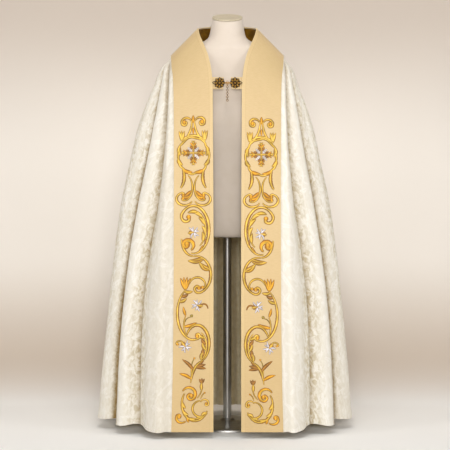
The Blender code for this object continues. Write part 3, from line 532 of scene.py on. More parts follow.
# ---- The stage ----
CAMERA_PLACE = (0.0, -9.0, 1.37)
CAMERA_AIM = (-0.0087, -0.33, 0.804)
CAMERA_LENS = 185.84  # mm
CAMERA_FRAME = 36.0  # mm
CAMERA_CLIP = 60.0
FLOOR_FRONT = -11.0
STAGE_HALF = 7.0
STAGE_HEIGHT = 7.0
STAGE_BEND = 0.40  # radius of the bend where the floor turns up into the wall
BEND_POINTS = 17
WALL_Y = 0.90
FLOOR_TO_HORIZON = (0.50, 0.84)  # back along the floor
HORIZON_TO_WALL = (0.14, 0.62)  # up the wall
WALL_TO_TOP = (0.95, 1.70)
ROOM_TINT = (1.0, 0.98, 0.96, 1)
ROOM_LIGHT = 0.11

Lamp = namedtuple("Lamp", "name place aim size power tint")
LAMPS = (
    Lamp("Key light", (0.1, -8.0, 2.3), (0, 0, 0.8), 2.0, 260, (1.0, 0.99, 0.98)),
    Lamp("Left light", (-4.4, -3.4, 2.4), (0, 0, 0.8), 1.6, 74, (1.0, 0.98, 0.96)),
    Lamp("Right light", (4.4, -3.4, 2.4), (0, 0, 0.8), 1.6, 74, (1.0, 0.985, 0.97)),
    Lamp("Top light", (0, -2.2, 4.2), (0, -0.9, 0.0), 2.4, 60, (1.0, 0.995, 0.99)),
    Lamp("Wall light", (0, -0.6, 3.4), (0, 0.9, 1.0), 1.5, 8, (1.0, 0.99, 0.98)),
)


def srgb(red, green, blue):
    """A colour as it shows on a screen, from 0 to 255, as the linear values that Blender keeps."""
    parts = [channel / 255 for channel in (red, green, blue)]
    return tuple(part / 12.92 if part <= 0.04045 else ((part + 0.055) / 1.055) ** 2.4 for part in parts)


# Each thread's colours across a stroke: its shaded edges, between them, and its lit middle.
Thread = namedtuple("Thread", "edge body light")
THREADS = {
    "gold": Thread(srgb(124, 83, 14), srgb(187, 143, 33), srgb(226, 193, 81)),
    "bright": Thread(srgb(145, 100, 21), srgb(207, 160, 44), srgb(241, 210, 102)),
    "orange": Thread(srgb(141, 85, 10), srgb(201, 137, 14), srgb(230, 176, 39)),
    "brown": Thread(srgb(93, 56, 14), srgb(141, 91, 25), srgb(176, 127, 48)),
    "leaf": Thread(srgb(104, 87, 27), srgb(152, 133, 50), srgb(183, 164, 73)),
    "white": Thread(srgb(147, 141, 154), srgb(210, 207, 220), srgb(237, 235, 239)),
    "grey": Thread(srgb(118, 108, 124), srgb(129, 120, 135), srgb(139, 129, 143)),
    "shade": Thread(srgb(133, 91, 27), srgb(145, 100, 35), srgb(151, 106, 41)),
}


# ---- Settings that a user would change ----
def length(name, description, default):
    return FloatProperty(name=name, description=description, default=default, unit="LENGTH", precision=5)


def colour(name, description, default):
    return FloatVectorProperty(
        name=name, description=description, default=default, subtype="COLOR", size=3, min=0.0, max=1.0
    )


class CopeSizes(bpy.types.PropertyGroup):
    """The sizes of the cope's cloth and trimmings."""

    body_wall: length("Body cloth", "Thickness of the damask with its lining", 0.0018)
    band_wall: length("Band cloth", "Thickness of the backed bands and collar", 0.0028)
    crumple: length("Crumple", "Height of the small uneven creases all over the body", 0.0011)
    band_ripple: length("Band ripple", "Height of the soft waves in the bands", 0.0006)
    stitch_height: length("Stitch height", "How high a broad satin stitch stands", 0.0012)
    piping: length("Piping", "Radius of the cord that edges the collar and bands", 0.0011)
    petal_wire: length("Petal wire", "Radius of the wire of the clasp's petals", 0.00095)
    link_wire: length("Link wire", "Radius of the wire of the chain's links", 0.0008)


class CopeColours(bpy.types.PropertyGroup):
    """The colours of the cope, its form and the stage."""

    damask: colour("Damask ground", "Body cloth between the figures", srgb(233, 228, 216))
    figure: colour("Damask figure", "Leaves woven into the body cloth", srgb(240, 236, 227))
    lame: colour("Band", "Fine gold cloth of the bands and collar", srgb(208, 181, 135))
    band_edge: colour("Band edge", "Turned edges of the bands", srgb(226, 202, 150))
    lining: colour("Lining", "Satin inside the cope", srgb(234, 220, 186))
    facing: colour("Collar facing", "Old gold satin inside the collar", srgb(116, 81, 10))
    gilt: colour("Antique gilt", "Raised metal of the clasp", srgb(80, 50, 16))
    petal: colour("Petal", "Bright gilt inside the clasp's petals", srgb(190, 146, 66))
    enamel: colour("Dark ground", "Blackened cells of the clasp", srgb(24, 16, 10))
    chain: colour("Pale gilt", "Chain links", srgb(176, 128, 40))
    jersey: colour("Form cover", "Stretched jersey on the dress form", srgb(211, 198, 184))
    cap: colour("Neck cap", "Flat cap on the form's neck", srgb(200, 188, 162))
    steel: colour("Steel", "Pole and foot", srgb(176, 174, 170))
    floor: colour("Floor", "Plain floor of the stage, near the part", srgb(246, 245, 242))
    # painted shade where the floor turns up into the wall
    horizon_shade: colour("Horizon", "Where the floor turns up into the wall", srgb(199, 185, 170))
    wall: colour("Backdrop", "Plain wall behind the part", srgb(235, 228, 219))
    # painted shade high up on the wall
    wall_top_shade: colour("Backdrop, high up", "The same wall above the part", srgb(192, 180, 168))


# ---- Curves, as in the model ----
def along(table, column, fallen):
    """Reads a column of a table at any parts of the fall, on a smooth curve that never overshoots."""
    xs = np.array([row.fallen for row in table])
    ys = np.array([getattr(row, column) for row in table])
    steps = np.diff(xs)
    slopes = np.diff(ys) / steps
    tangents = np.zeros_like(ys)
    for i in range(1, len(xs) - 1):
        if slopes[i - 1] * slopes[i] > 0:
            near = 2 * steps[i] + steps[i - 1]
            far = steps[i] + 2 * steps[i - 1]
            tangents[i] = (near + far) / (near / slopes[i - 1] + far / slopes[i])
    tangents[0] = slopes[0]
    tangents[-1] = slopes[-1]
    i = np.clip(np.searchsorted(xs, fallen) - 1, 0, len(steps) - 1)
    s = (fallen - xs[i]) / steps[i]
    return (
        ys[i] * (1 + 2 * s) * (1 - s) ** 2
        + tangents[i] * steps[i] * s * (1 - s) ** 2
        + ys[i + 1] * s * s * (3 - 2 * s)
        + tangents[i + 1] * steps[i] * s * s * (s - 1)
    )


def unit(vectors):
    return vectors / np.linalg.norm(vectors, axis=-1, keepdims=True)


def smoothstep(low, high, value):
    s = np.clip((value - low) / (high - low), 0, 1)
    return s * s * (3 - 2 * s)


def points_of(*parts):
    return np.stack(np.broadcast_arrays(*parts), axis=-1)


def way_at(turn):
    """The direction at a bearing in the pattern: 0 is up, a quarter turn towards the opening."""
    return np.array((math.sin(turn), -math.cos(turn)))


def reached_along(route):
    return np.concatenate([[0], np.cumsum(np.linalg.norm(np.diff(route, axis=0), axis=1))])


def aside_of(ways):
    return np.stack([-ways[:, 1], ways[:, 0]], axis=-1)


def neck_seam(root):
    """Where the body cloth leaves the band, from the left shoulder (0) behind the neck to the right (1)."""
    turn = math.pi * np.asarray(root)
    return points_of(
        -SHOULDER_X * np.cos(turn), NECK_SEAM_BACK * np.sin(turn), SHOULDER_Z - NECK_SEAM_DIP * np.sin(turn)
    )


def collar_top(root):
    turn = math.pi * np.asarray(root)
    height = COLLAR_Z + COLLAR_RISE * np.sin(turn)
    return points_of(-COLLAR_X * np.cos(turn), COLLAR_BACK * np.sin(turn), height)


def neck_direction(root):
    """The outward direction of the collar's wall at one place on the neck seam."""
    step = 0.01
    onwards = neck_seam(root + step) - neck_seam(root - step)
    return unit(np.cross(onwards, neck_seam(root) - collar_top(root)))


def front_seam(fallen, side):
    """The band's outer edge down the front. side is -1 on the left and 1 on the right."""
    height = SHOULDER_Z + (HEM_HEIGHT - SHOULDER_Z) * fallen
    across = side * along(BANDS, "outer", fallen)
    return points_of(across, FRONT_HEM_Y * along(FALLS, "front", fallen), height)


def front_edge(fallen, side):
    """The band's inner edge down the front."""
    height = SHOULDER_Z + (HEM_HEIGHT - SHOULDER_Z) * fallen + along(BANDS, "lift", fallen)
    return points_of(side * along(BANDS, "inner", fallen), -along(BANDS, "forward", fallen), height)


def pleat_marks(pleat, fallen):
    """The crest's or valley's line, at each of these parts of the fall."""
    start = neck_seam(pleat.root)
    turn = math.radians(pleat.bearing)
    way = (-math.sin(turn), -math.cos(turn))
    depth = BELL_FRONT if way[1] < 0 else BELL_BACK
    power = BELL_SQUARENESS
    reach = (abs(way[0] / BELL_HALF_WIDTH) ** power + abs(way[1] / depth) ** power) ** (-1 / power)
    hem_x, hem_y = BELL_CENTRE[0] + way[0] * reach, BELL_CENTRE[1] + way[1] * reach
    sideways = along(FALLS, "side", fallen) * (1 - pleat.hanging)
    sideways = sideways + along(FALLS, "hanging", fallen) * pleat.hanging
    behind = smoothstep(SIDE_STARTS, SIDE_ENDS, min(pleat.bearing, 360 - pleat.bearing))
    lengthways = along(FALLS, "front", fallen) * (1 - behind) + along(FALLS, "back", fallen) * behind
    grown = np.maximum(fallen - pleat.starts, 0) / (1 - pleat.starts)
    out = pleat.out * grown**PLEAT_GROWTH
    hem_z = HEM_HEIGHT + HEM_RISE * math.sin(turn) ** 2
    return points_of(
        start[0] + (hem_x - start[0]) * sideways + out * way[0],
        start[1] + (hem_y - start[1]) * lengthways + out * way[1],
        start[2] + (hem_z - start[2]) * fallen,
    )


def body_surface(fallen):
    """The whole body cloth: its points, and each column's place in marks from the left band."""
    middles = [(front_seam(fallen, side) + front_edge(fallen, side)) / 2 for side in (-1, 1)]
    marks = [front_seam(fallen, -1)]
    marks += [pleat_marks(pleat, fallen) for pleat in PLEATS]
    marks += [front_seam(fallen, 1)]
    ways = [unit(marks[0] - middles[0])]
    ways += [unit(after - before) for before, after in zip(marks, marks[2:])]
    ways += [unit(middles[1] - marks[-1])]
    widths = [SEAM_WIDTH] + [pleat.width for pleat in PLEATS] + [SEAM_WIDTH]
    columns = [marks[0]]
    places = [0.0]
    for i in range(len(marks) - 1):
        steps = STEPS_BEHIND if BACK_SEAMS[0] <= i < BACK_SEAMS[1] else STEPS_AT_SIDES
        steps = STEPS_IN_CLEFTS if i in CLEFT_PARTS else steps
        crowding = 0 if i in CLEFT_PARTS else COLUMN_CROWDING
        start, end = marks[i], marks[i + 1]
        reach = np.linalg.norm(end - start, axis=-1, keepdims=True)
        near = start + ways[i] * widths[i] * reach
        far = end - ways[i + 1] * widths[i + 1] * reach
        for step in range(1, steps + 1):
            s = step / steps
            s -= crowding * math.sin(2 * math.pi * s) / (2 * math.pi)
            leaving = start * (1 - s) ** 3 + 3 * near * s * (1 - s) ** 2
            columns.append(leaving + 3 * far * s * s * (1 - s) + end * s**3)
            places.append(i + s)
    return np.stack(columns, axis=1), np.array(places)


def roots_at(places):
    """Where on the neck seam the columns at these places, in marks, start."""
    marks = [0.0] + [pleat.root for pleat in PLEATS] + [1.0]
    return np.interp(places, range(len(marks)), marks)


def share(first, second):
    """One direction for both sides of a seam, so that the two cloths' ends stay parallel."""
    middle = unit(first + second)
    first[:] = middle
    second[:] = middle


def normals_of(grid, fallen, roots):
    """Outward directions of a grid, turning into the collar's at its top."""
    normals = unit(np.cross(np.gradient(grid, axis=1), np.gradient(grid, axis=0)))
    own = smoothstep(0, SHOULDER_TURN, fallen)[:, None, None]
    top = np.array([neck_direction(root) for root in roots])
    return unit(top * (1 - own) + normals * own)


def joined_surfaces(fallen):
    """The body's grid, places and directions, and each band's, with one direction at every seam."""
    whole, places = body_surface(fallen)
    normals = normals_of(whole, fallen, roots_at(places))
    bands = {side: band_surface(fallen, side) for side in (-1, 1)}
    share(normals[:, 0], bands[-1][1][:, -1])
    share(normals[:, -1], bands[1][1][:, 0])
    return whole, places, normals, bands


def rows_of_fall(extra=()):
    rows = np.linspace(0, 1, ROWS) ** ROW_SPREAD
    return np.unique(np.concatenate([rows, extra]))


def lengths_across(grid):
    """How far along its row each point lies from the grid's middle column."""
    steps = np.linalg.norm(np.diff(grid, axis=1), axis=-1)
    reached = np.concatenate([np.zeros((len(grid), 1)), np.cumsum(steps, axis=1)], axis=1)
    return reached - reached[:, grid.shape[1] // 2][:, None]


def creased(grid, normals, fallen, places):
    """The grid with its valleys and creases pressed into it, and each point's tone, the painted shade in its
    valleys, and flank, where ragged painted shade goes, from 0 to 1.
    """
    reached = lengths_across(grid)
    depth = np.zeros(grid.shape[:2])
    tone = np.zeros(grid.shape[:2])

    def away_from(wander, width):
        middle = np.array([np.interp(at, places, row) for at, row in zip(wander, reached)])
        return (reached - middle[:, None]) / width

    # each valley's tone paints shade along its route
    for valley in VALLEYS:
        falls, marks, widths = np.array(valley.route).T
        if marks.max() < places[0] - 0.5 or marks.min() > places[-1] + 0.5:
            continue
        away = away_from(np.interp(fallen, falls, marks), np.interp(fallen, falls, widths)[:, None])
        near = np.exp(-(away**2)) * smoothstep(0.0, 0.03, fallen)[:, None]
        near *= smoothstep(falls[-1] + 0.05, falls[-1], fallen)[:, None]
        depth += valley.depth * near
        tone = 1 - (1 - tone) * (1 - valley.tone * near)
    for crease in CREASES:
        if not places[0] - 0.5 < crease.place < places[-1] + 0.5:
            continue
        part = (fallen - crease.starts) / (crease.ends - crease.starts)
        fading = np.sin(math.pi * np.clip(part, 0, 1)) ** 0.8
        wander = crease.place + crease.drift * (np.clip(part, 0, 1) - 0.5)
        depth += crease.depth * fading[:, None] * np.exp(-(away_from(wander, crease.width) ** 2))
    ends = np.minimum(places - places[0], places[-1] - places)
    depth *= smoothstep(0, 0.4, ends)[None, :]
    # the folds' flanks and the outermost folds take ragged painted shade in the damask
    flank = np.abs(np.sin(math.pi / 2 * (places - 1))) ** 3
    flank = np.where((places < 1) | (places > len(PLEATS)), 0, flank)
    flank = np.repeat(flank[None], len(grid), axis=0)
    outer_shade_share = 1 - FLANK_SHADE_LOST * smoothstep(*FLANK_SHADE_FADES, fallen)[:, None]
    for edge in OUTER_FOLDS:
        flank = np.maximum(flank, outer_shade_share * np.exp(-(((places - edge) / OUTER_FOLD_WIDTH) ** 2)))
    return grid - normals * depth[..., None], tone, flank


def crumpled(grid, normals, height, seed, scales=BODY_WAVES):
    """The grid with small uneven waves, which die away at its edges."""
    drop = np.cumsum(np.linalg.norm(np.diff(grid, axis=0, prepend=grid[:1]), axis=-1), axis=0)
    reached = lengths_across(grid)
    waves = np.zeros(grid.shape[:2])
    for part, scale in zip(WAVE_SHARES, scales):
        flat = [
            noise.noise(Vector((u * scale, v * scale * WAVE_STRETCH, seed)))
            for u, v in zip(reached.ravel(), drop.ravel())
        ]
        waves += part * np.array(flat).reshape(waves.shape)
    rows, columns = waves.shape
    inside = np.minimum(np.arange(columns), np.arange(columns)[::-1]) / 4
    waves *= np.clip(inside, 0, 1)[None, :]
    waves *= smoothstep(0, 0.05, np.linspace(0, 1, rows))[:, None]
    return grid + normals * (waves * height)[..., None]


# ---- Meshes ----
def fill_loops(layer, key, values, corners):
    layer.foreach_set(key, np.ascontiguousarray(values[corners], dtype=np.float32).ravel())


def object_of(name, points, faces, finishes, uv=None, finish_of_face=None):
    """A new object in the frame, with its cloth coordinates in metres."""
    mesh = bpy.data.meshes.new(name)
    mesh.from_pydata(points.tolist(), [], faces)
    for finish in finishes:
        mesh.materials.append(finish)
    if finish_of_face is not None:
        mesh.polygons.foreach_set("material_index", finish_of_face)
    if uv is not None:
        corners = np.empty(len(mesh.loops), dtype=np.int32)
        mesh.loops.foreach_get("vertex_index", corners)
        fill_loops(mesh.uv_layers.new(name="cloth").data, "uv", uv, corners)
    mesh.shade_smooth()
    mesh.set_sharp_from_angle(angle=math.radians(55))
    made = bpy.data.objects.new(name, mesh)
    bpy.context.scene.collection.objects.link(made)
    return made


def shell(name, grid, normals, thickness, outside, inside, uv):
    """A sheet of cloth with its two faces and the rim between them."""
    rows, columns = grid.shape[:2]
    points = np.concatenate([grid.reshape(-1, 3), (grid - normals * thickness).reshape(-1, 3)])
    under = rows * columns
    index = np.arange(under).reshape(rows, columns)
    quads = np.stack([index[:-1, :-1], index[:-1, 1:], index[1:, 1:], index[1:, :-1]], axis=-1).reshape(-1, 4)
    rim = np.concatenate([index[0, :-1], index[:-1, -1], index[-1, :0:-1], index[:0:-1, 0]])
    onwards = np.roll(rim, -1)
    sides = np.stack([onwards, rim, rim + under, onwards + under], axis=-1)
    faces = np.concatenate([quads, quads[:, ::-1] + under, sides])
    finish = np.zeros(len(faces), dtype=np.int32)
    finish[len(quads) : 2 * len(quads)] = 1
    both = np.concatenate([uv.reshape(-1, 2), uv.reshape(-1, 2)])
    return object_of(name, points, faces.tolist(), (outside, inside), both, finish)


def cloth_uv(grid, fallen):
    return points_of(lengths_across(grid), -FALL_LENGTH * fallen[:, None])


def tube(name, route, radius, finish, sides=8):
    """A cord along a route of points, with closed ends."""
    ways = unit(np.gradient(route, axis=0))
    first = unit(np.cross(ways, np.roll(ways, 1, axis=0) + np.array((0.31, 0.17, 0.93))))
    second = np.cross(ways, first)
    turns = np.linspace(0, 2 * math.pi, sides, endpoint=False)
    rings = [route + (first * math.cos(turn) + second * math.sin(turn)) * radius for turn in turns]
    points = np.stack(rings, axis=1).reshape(-1, 3)
    faces = []
    for i in range(len(route) - 1):
        for j in range(sides):
            k = (j + 1) % sides
            faces.append((i * sides + j, i * sides + k, (i + 1) * sides + k, (i + 1) * sides + j))
    faces.append(tuple(reversed(range(sides))))
    faces.append(tuple(range(len(points) - sides, len(points))))
    uv = points_of(reached_along(route)[:, None], turns[None, :] * radius).reshape(-1, 2)
    return object_of(name, points, faces, (finish,), uv)


def deselect():
    for item in bpy.context.view_layer.objects:
        item.select_set(False)


def edit_all():
    """Opens the active object for editing, with all of it selected."""
    bpy.ops.object.mode_set(mode="EDIT")
    bpy.ops.mesh.select_all(action="SELECT")


def end_edit():
    bpy.ops.object.mode_set(mode="OBJECT")


def named(item, name):
    item.name = name
    item.data.name = name
    return item


def take_up(item):
    """Makes one object the only selected and active one."""
    deselect()
    item.select_set(True)
    bpy.context.view_layer.objects.active = item
    return item


def apply_all(item):
    """Applies an object's modifiers and its place."""
    take_up(item)
    for modifier in list(item.modifiers):
        bpy.ops.object.modifier_apply(modifier=modifier.name)
    bpy.ops.object.transform_apply(location=True, rotation=True, scale=True)
    return item


def copied(item, place=(0, 0, 0), turn=0.0):
    """A copy of a piece with its own mesh, turned about the upright and moved."""
    made = bpy.data.objects.new(item.name, item.data.copy())
    bpy.context.scene.collection.objects.link(made)
    made.location = place
    made.rotation_euler = (0, 0, turn)
    return apply_all(made)


def discard(items):
    for item in items:
        bpy.data.objects.remove(item)


def smooth(item, degrees):
    take_up(item)
    bpy.ops.object.shade_smooth_by_angle(angle=math.radians(degrees))
    return item


def joined(name, items):
    deselect()
    for item in items:
        item.select_set(True)
    bpy.context.view_layer.objects.active = items[0]
    if len(items) > 1:
        bpy.ops.object.join()
    return named(bpy.context.view_layer.objects.active, name)


def copy_of(node, name):
    """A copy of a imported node's mesh with its points merged, ready to be finished."""
    copied = bpy.data.objects.new(name, frame["nodes"][node].data.copy())
    copied.data.name = name
    copied.data.materials.clear()
    bpy.context.scene.collection.objects.link(copied)
    take_up(copied)
    edit_all()
    bpy.ops.mesh.remove_doubles(threshold=0.00002)
    end_edit()
    return copied


def turned(name, steps, sides, finish):
    """A turned piece, drawn up from its underside: each step is a radius and a height."""
    deselect()
    (radius, height), rest = steps[0], steps[1:]
    bpy.ops.mesh.primitive_circle_add(
        vertices=sides, radius=radius, fill_type="NGON", location=(0, 0, height)
    )
    made = named(bpy.context.object, name)
    bpy.ops.object.transform_apply(location=True)
    edit_all()
    for wider, higher in rest:
        bpy.ops.mesh.extrude_region_move(TRANSFORM_OT_translate={"value": (0, 0, higher - height)})
        growth = wider / radius
        bpy.ops.transform.resize(value=(growth, growth, 1), center_override=(0, 0, higher))
        radius, height = wider, higher
    bpy.ops.mesh.select_all(action="SELECT")
    bpy.ops.mesh.normals_make_consistent(inside=False)
    end_edit()
    made.data.materials.append(finish)
    return made


# ---- Materials ----
class Shader:
    """A material's nodes, joined as they are made."""

    def __init__(self, name, tint, roughness, metallic=0.0):
        self.material = bpy.data.materials.new(name)
        self.material.use_nodes = True
        self.tree = self.material.node_tree
        self.surface = self.tree.nodes["Principled BSDF"]
        self.surface.inputs["Base Color"].default_value = (*tint, 1)
        self.surface.inputs["Roughness"].default_value = roughness
        self.surface.inputs["Metallic"].default_value = metallic
        self.material.diffuse_color = (*tint, 1)

    def add(self, kind, inputs, **settings):
        node = self.tree.nodes.new("ShaderNode" + kind)
        for key, value in settings.items():
            setattr(node, key, value)
        for key, value in inputs.items():
            self.feed(node.inputs[key], value)
        return node

    def feed(self, socket, value):
        if isinstance(value, bpy.types.NodeSocket):
            self.tree.links.new(value, socket)
        elif socket.type == "RGBA" and len(value) == 3:
            socket.default_value = (*value, 1)
        else:
            socket.default_value = value

    def set(self, **values):
        """Sets or joins sockets of the surface, named with underscores for spaces."""
        for key, value in values.items():
            self.feed(self.surface.inputs[key.replace("_", " ")], value)

    def math(self, operation, first, second=0.0, third=0.0):
        return self.add("Math", {0: first, 1: second, 2: third}, operation=operation).outputs[0]

    def vector(self, operation, first, second):
        return self.add("VectorMath", {0: first, 1: second}, operation=operation).outputs[0]

    def rotated(self, vector, angle):
        inputs = {"Vector": vector, "Angle": angle}
        return self.add("VectorRotate", inputs, rotation_type="Z_AXIS").outputs[0]

    def between(self, value, low, high, start=0.0, end=1.0):
        inputs = {"Value": value, "From Min": low, "From Max": high, "To Min": start, "To Max": end}
        return self.add("MapRange", inputs, interpolation_type="SMOOTHSTEP").outputs[0]

    def mix(self, part, first, second, blend="MIX"):
        node = self.add("Mix", {0: part, 6: first, 7: second}, data_type="RGBA", blend_type=blend)
        return node.outputs[2]

    def cloth(self):
        return self.add("UVMap", {}, uv_map="cloth").outputs[0]

    def place(self):
        return self.add("TexCoord", {}).outputs["Object"]

    def noise(self, vector, scale, detail=3.0, roughness=0.5, distortion=0.0):
        inputs = {
            "Vector": vector,
            "Scale": scale,
            "Detail": detail,
            "Roughness": roughness,
            "Distortion": distortion,
        }
        return self.add("TexNoise", inputs).outputs["Fac"]

    def bump(self, height, distance, strength=1.0):
        """Adds relief to the surface, over what it already has."""
        inputs = {"Height": height, "Distance": distance, "Strength": strength}
        normal = self.surface.inputs["Normal"]
        if normal.links:
            inputs["Normal"] = normal.links[0].from_socket
        self.feed(normal, self.add("Bump", inputs).outputs[0])

    def threads(self, vector, pitch, angle=0.0):
        """Fine parallel threads across the cloth's first direction."""
        inputs = {"Vector": self.rotated(vector, angle), "Scale": 1 / pitch / WAVE_SCALE, "Distortion": 0.0}
        return self.add("TexWave", inputs, bands_direction="X", wave_profile="SIN").outputs["Fac"]


WAVE_SCALE = 3.1831  # bands that the wave texture makes to a metre at a scale of 1
WOVEN_LEAVES = ((15.0, 0.42, 0.0), (26.0, 0.38, 7.3))  # leaves to a metre, half length in cells, seed


def woven_leaves(shader, cloth):
    """The damask's figure, from 0 to 1: toothed leaves lying every way, in two sizes, on thin stems."""
    figure = None
    warp = shader.add("TexNoise", {"Vector": cloth, "Scale": 9.0, "Detail": 1.0}).outputs["Color"]
    drift = shader.vector("MULTIPLY", warp, (0.030, 0.030, 0.0))
    bent = shader.vector("ADD", cloth, drift)
    for scale, half_length, seed in WOVEN_LEAVES:
        shifted = shader.vector("ADD", bent, (seed, seed * 0.7, 0))
        cells = shader.add(
            "TexVoronoi", {"Vector": shifted, "Scale": scale, "Randomness": 0.75}, voronoi_dimensions="2D"
        )
        scaled = shader.vector("MULTIPLY", shifted, (scale, scale, 0))
        middle = shader.vector("MULTIPLY", cells.outputs["Position"], (scale, scale, 0))
        local = shader.vector("SUBTRACT", scaled, middle)
        chance = shader.add("SeparateColor", {0: cells.outputs["Color"]}).outputs[0]
        angle = shader.math("MULTIPLY", chance, 6.283)
        parts = shader.add("SeparateXYZ", {0: shader.rotated(local, angle)})
        along_leaf, aside = parts.outputs[0], parts.outputs[1]
        ratio = shader.math("DIVIDE", along_leaf, half_length)
        taper = shader.math("SUBTRACT", 1.0, shader.math("MULTIPLY", ratio, ratio))
        wave = shader.math("SINE", shader.math("MULTIPLY", along_leaf, 58.0))
        teeth = shader.math("MULTIPLY_ADD", wave, 0.16, 0.84)
        width = shader.math("MULTIPLY", shader.math("MULTIPLY", taper, 0.15), teeth)
        off_rib = shader.math("ABSOLUTE", aside)
        inside = shader.between(shader.math("SUBTRACT", width, off_rib), -0.012, 0.02)
        beside_rib = shader.between(off_rib, 0.006, 0.02)
        leaf = shader.math("MULTIPLY", inside, beside_rib)
        figure = leaf if figure is None else shader.math("MAXIMUM", figure, leaf)
    inputs = {"Vector": bent, "Scale": 5.0, "Distortion": 7.0, "Detail": 1.0, "Detail Scale": 1.2}
    stem = shader.between(shader.add("TexWave", inputs).outputs["Fac"], 0.93, 0.985)
    return shader.math("MAXIMUM", figure, shader.math("MULTIPLY", stem, 0.8))


def damask_finish(colours):
    """Ivory damask: satin leaves on a duller ground, a little crushed, with ragged painted shade on its
    folds' flanks and painted shade down in its valleys.
    """
    shader = Shader("Ivory damask", colours.damask, 0.55)
    cloth = shader.cloth()
    figure = woven_leaves(shader, cloth)
    crushed = shader.noise(shader.vector("MULTIPLY", cloth, (1.0, 0.55, 1.0)), 84.0, 3.0, 0.6, 0.8)
    clouds = shader.noise(cloth, 9.0, 3.0)
    painted_fold_shade = shader.add("Attribute", {}, attribute_name="painted_fold_shade").outputs["Fac"]
    flank = shader.add("Attribute", {}, attribute_name="flank").outputs["Fac"]
    tint = shader.mix(figure, colours.damask, colours.figure)
    # painted shade: ragged tan mottle on the folds' flanks
    patchy = shader.math("MULTIPLY_ADD", shader.math("MULTIPLY", flank, clouds), 1.35, 0.08)
    spots = shader.math("MULTIPLY", shader.between(crushed, 0.42, 0.62), patchy)
    mottled_tint = shader.mix(spots, tint, srgb(214, 201, 168), "MULTIPLY")
    # painted shade down in the valleys, with ragged edges
    ragged = shader.math("MULTIPLY_ADD", shader.math("SUBTRACT", crushed, 0.5), 0.8, 1.0)
    depth = shader.math("MULTIPLY", painted_fold_shade, ragged)
    soft = shader.mix(depth, mottled_tint, srgb(156, 132, 82), "MULTIPLY")
    gloss = shader.math("MULTIPLY_ADD", figure, -0.10, 0.56)
    gloss = shader.math("MULTIPLY_ADD", crushed, 0.10, gloss)
    shader.set(Base_Color=soft, Roughness=gloss, Specular_IOR_Level=0.35)
    shader.bump(crushed, 0.0016, 0.6)
    shader.bump(clouds, 0.0060, 0.5)
    shader.bump(figure, 0.00020, 0.7)
    shader.bump(shader.threads(cloth, 0.0009), 0.00006, 0.5)
    return shader.material


def lame_finish(colours):
    """Fine gold cloth with a slight slub, paler along its turned edges."""
    shader = Shader("Pale gold lame", colours.lame, 0.42, 0.0)
    cloth = shader.cloth()
    slub = shader.noise(shader.vector("MULTIPLY", cloth, (60.0, 420.0, 1.0)), 1.0, 3.0)
    clouds = shader.noise(cloth, 7.0, 3.0)
    tint = shader.mix(shader.between(slub, 0.30, 0.72, 0.0, 0.35), colours.lame, srgb(192, 164, 110))
    tint = shader.mix(shader.between(clouds, 0.35, 0.70, 0.0, 0.22), tint, srgb(218, 192, 140))
    aside = shader.add("SeparateXYZ", {0: cloth}).outputs[0]
    turned_in = shader.between(shader.math("MULTIPLY", aside, -1.0), TURNING_FROM, TURNING_FROM + 0.001)
    tint = shader.mix(shader.math("MULTIPLY", turned_in, 0.16), tint, colours.band_edge)
    from_line = shader.math("ABSOLUTE", shader.math("ADD", aside, TURNING_FROM))
    line = shader.between(from_line, 0.0014, 0.0004)
    # a dark line at the turning, and painted shade along the seam at the outer edge
    outer = shader.between(aside, BAND_WIDTH / 2 - 0.0030, BAND_WIDTH / 2 - 0.0005)
    dark = shader.math("MULTIPLY", shader.math("MAXIMUM", line, outer), 0.24)
    tint = shader.mix(dark, tint, srgb(176, 140, 84))
    down = shader.add("SeparateXYZ", {0: cloth}).outputs[1]
    tint = shader.mix(shader.between(down, -0.15, -1.30), tint, srgb(244, 240, 228), "MULTIPLY")
    shader.set(Base_Color=tint, Specular_IOR_Level=0.5, Sheen_Weight=0.15, Sheen_Roughness=0.4, Metallic=0.12)
    shader.bump(shader.noise(cloth, 60.0, 4.0, 0.6), 0.0007, 0.30)
    shader.bump(shader.threads(cloth, 0.0011), 0.00008, 0.6)
    shader.bump(shader.threads(cloth, 0.0011, math.pi / 2), 0.00008, 0.6)
    return shader.material


def satin_finish(name, tint, mottled_tint, sheen):
    """Satin with fine threads and soft wear."""
    shader = Shader(name, tint, 0.38)
    cloth = shader.cloth()
    clouds = shader.noise(cloth, 34.0, 4.0, 0.6)
    shader.set(
        Base_Color=shader.mix(shader.between(clouds, 0.38, 0.66), tint, mottled_tint),
        Sheen_Weight=sheen,
        Specular_IOR_Level=0.5,
    )
    shader.bump(clouds, 0.0012, 0.5)
    shader.bump(shader.threads(cloth, 0.0008), 0.00006, 0.6)
    return shader.material


def lining_finish(colours):
    return satin_finish("Ivory satin lining", colours.lining, srgb(222, 206, 166), 0.2)


def facing_finish(colours):
    return satin_finish("Old gold satin", colours.facing, srgb(156, 112, 18), 0.03)


def thread_finish():
    """Embroidery thread: each stroke's colours, with its painted shade, highlight and sheen, laid in close
    slanting stitches.
    """
    shader = Shader("Silk and gold thread", THREADS["gold"].body, 0.36)
    cloth = shader.cloth()
    parts = shader.add("SeparateXYZ", {0: cloth})
    slant = shader.math("MULTIPLY_ADD", shader.math("ABSOLUTE", parts.outputs[1]), 0.7, parts.outputs[0])
    across = shader.add("CombineXYZ", {0: slant, 1: 0.0, 2: 0.0}).outputs[0]
    stitches = shader.threads(across, 0.0007)
    uneven = shader.noise(cloth, 260.0, 2.0)
    threads = shader.add("Attribute", {}, attribute_name="thread").outputs["Color"]
    tint = shader.mix(shader.between(uneven, 0.35, 0.70, 0.0, 0.35), threads, srgb(232, 196, 118), "MULTIPLY")
    shader.set(Base_Color=tint, Specular_IOR_Level=0.5, Sheen_Weight=0.06, Sheen_Roughness=0.3, Metallic=0.15)
    shader.bump(stitches, 0.00016, 0.8)
    return shader.material


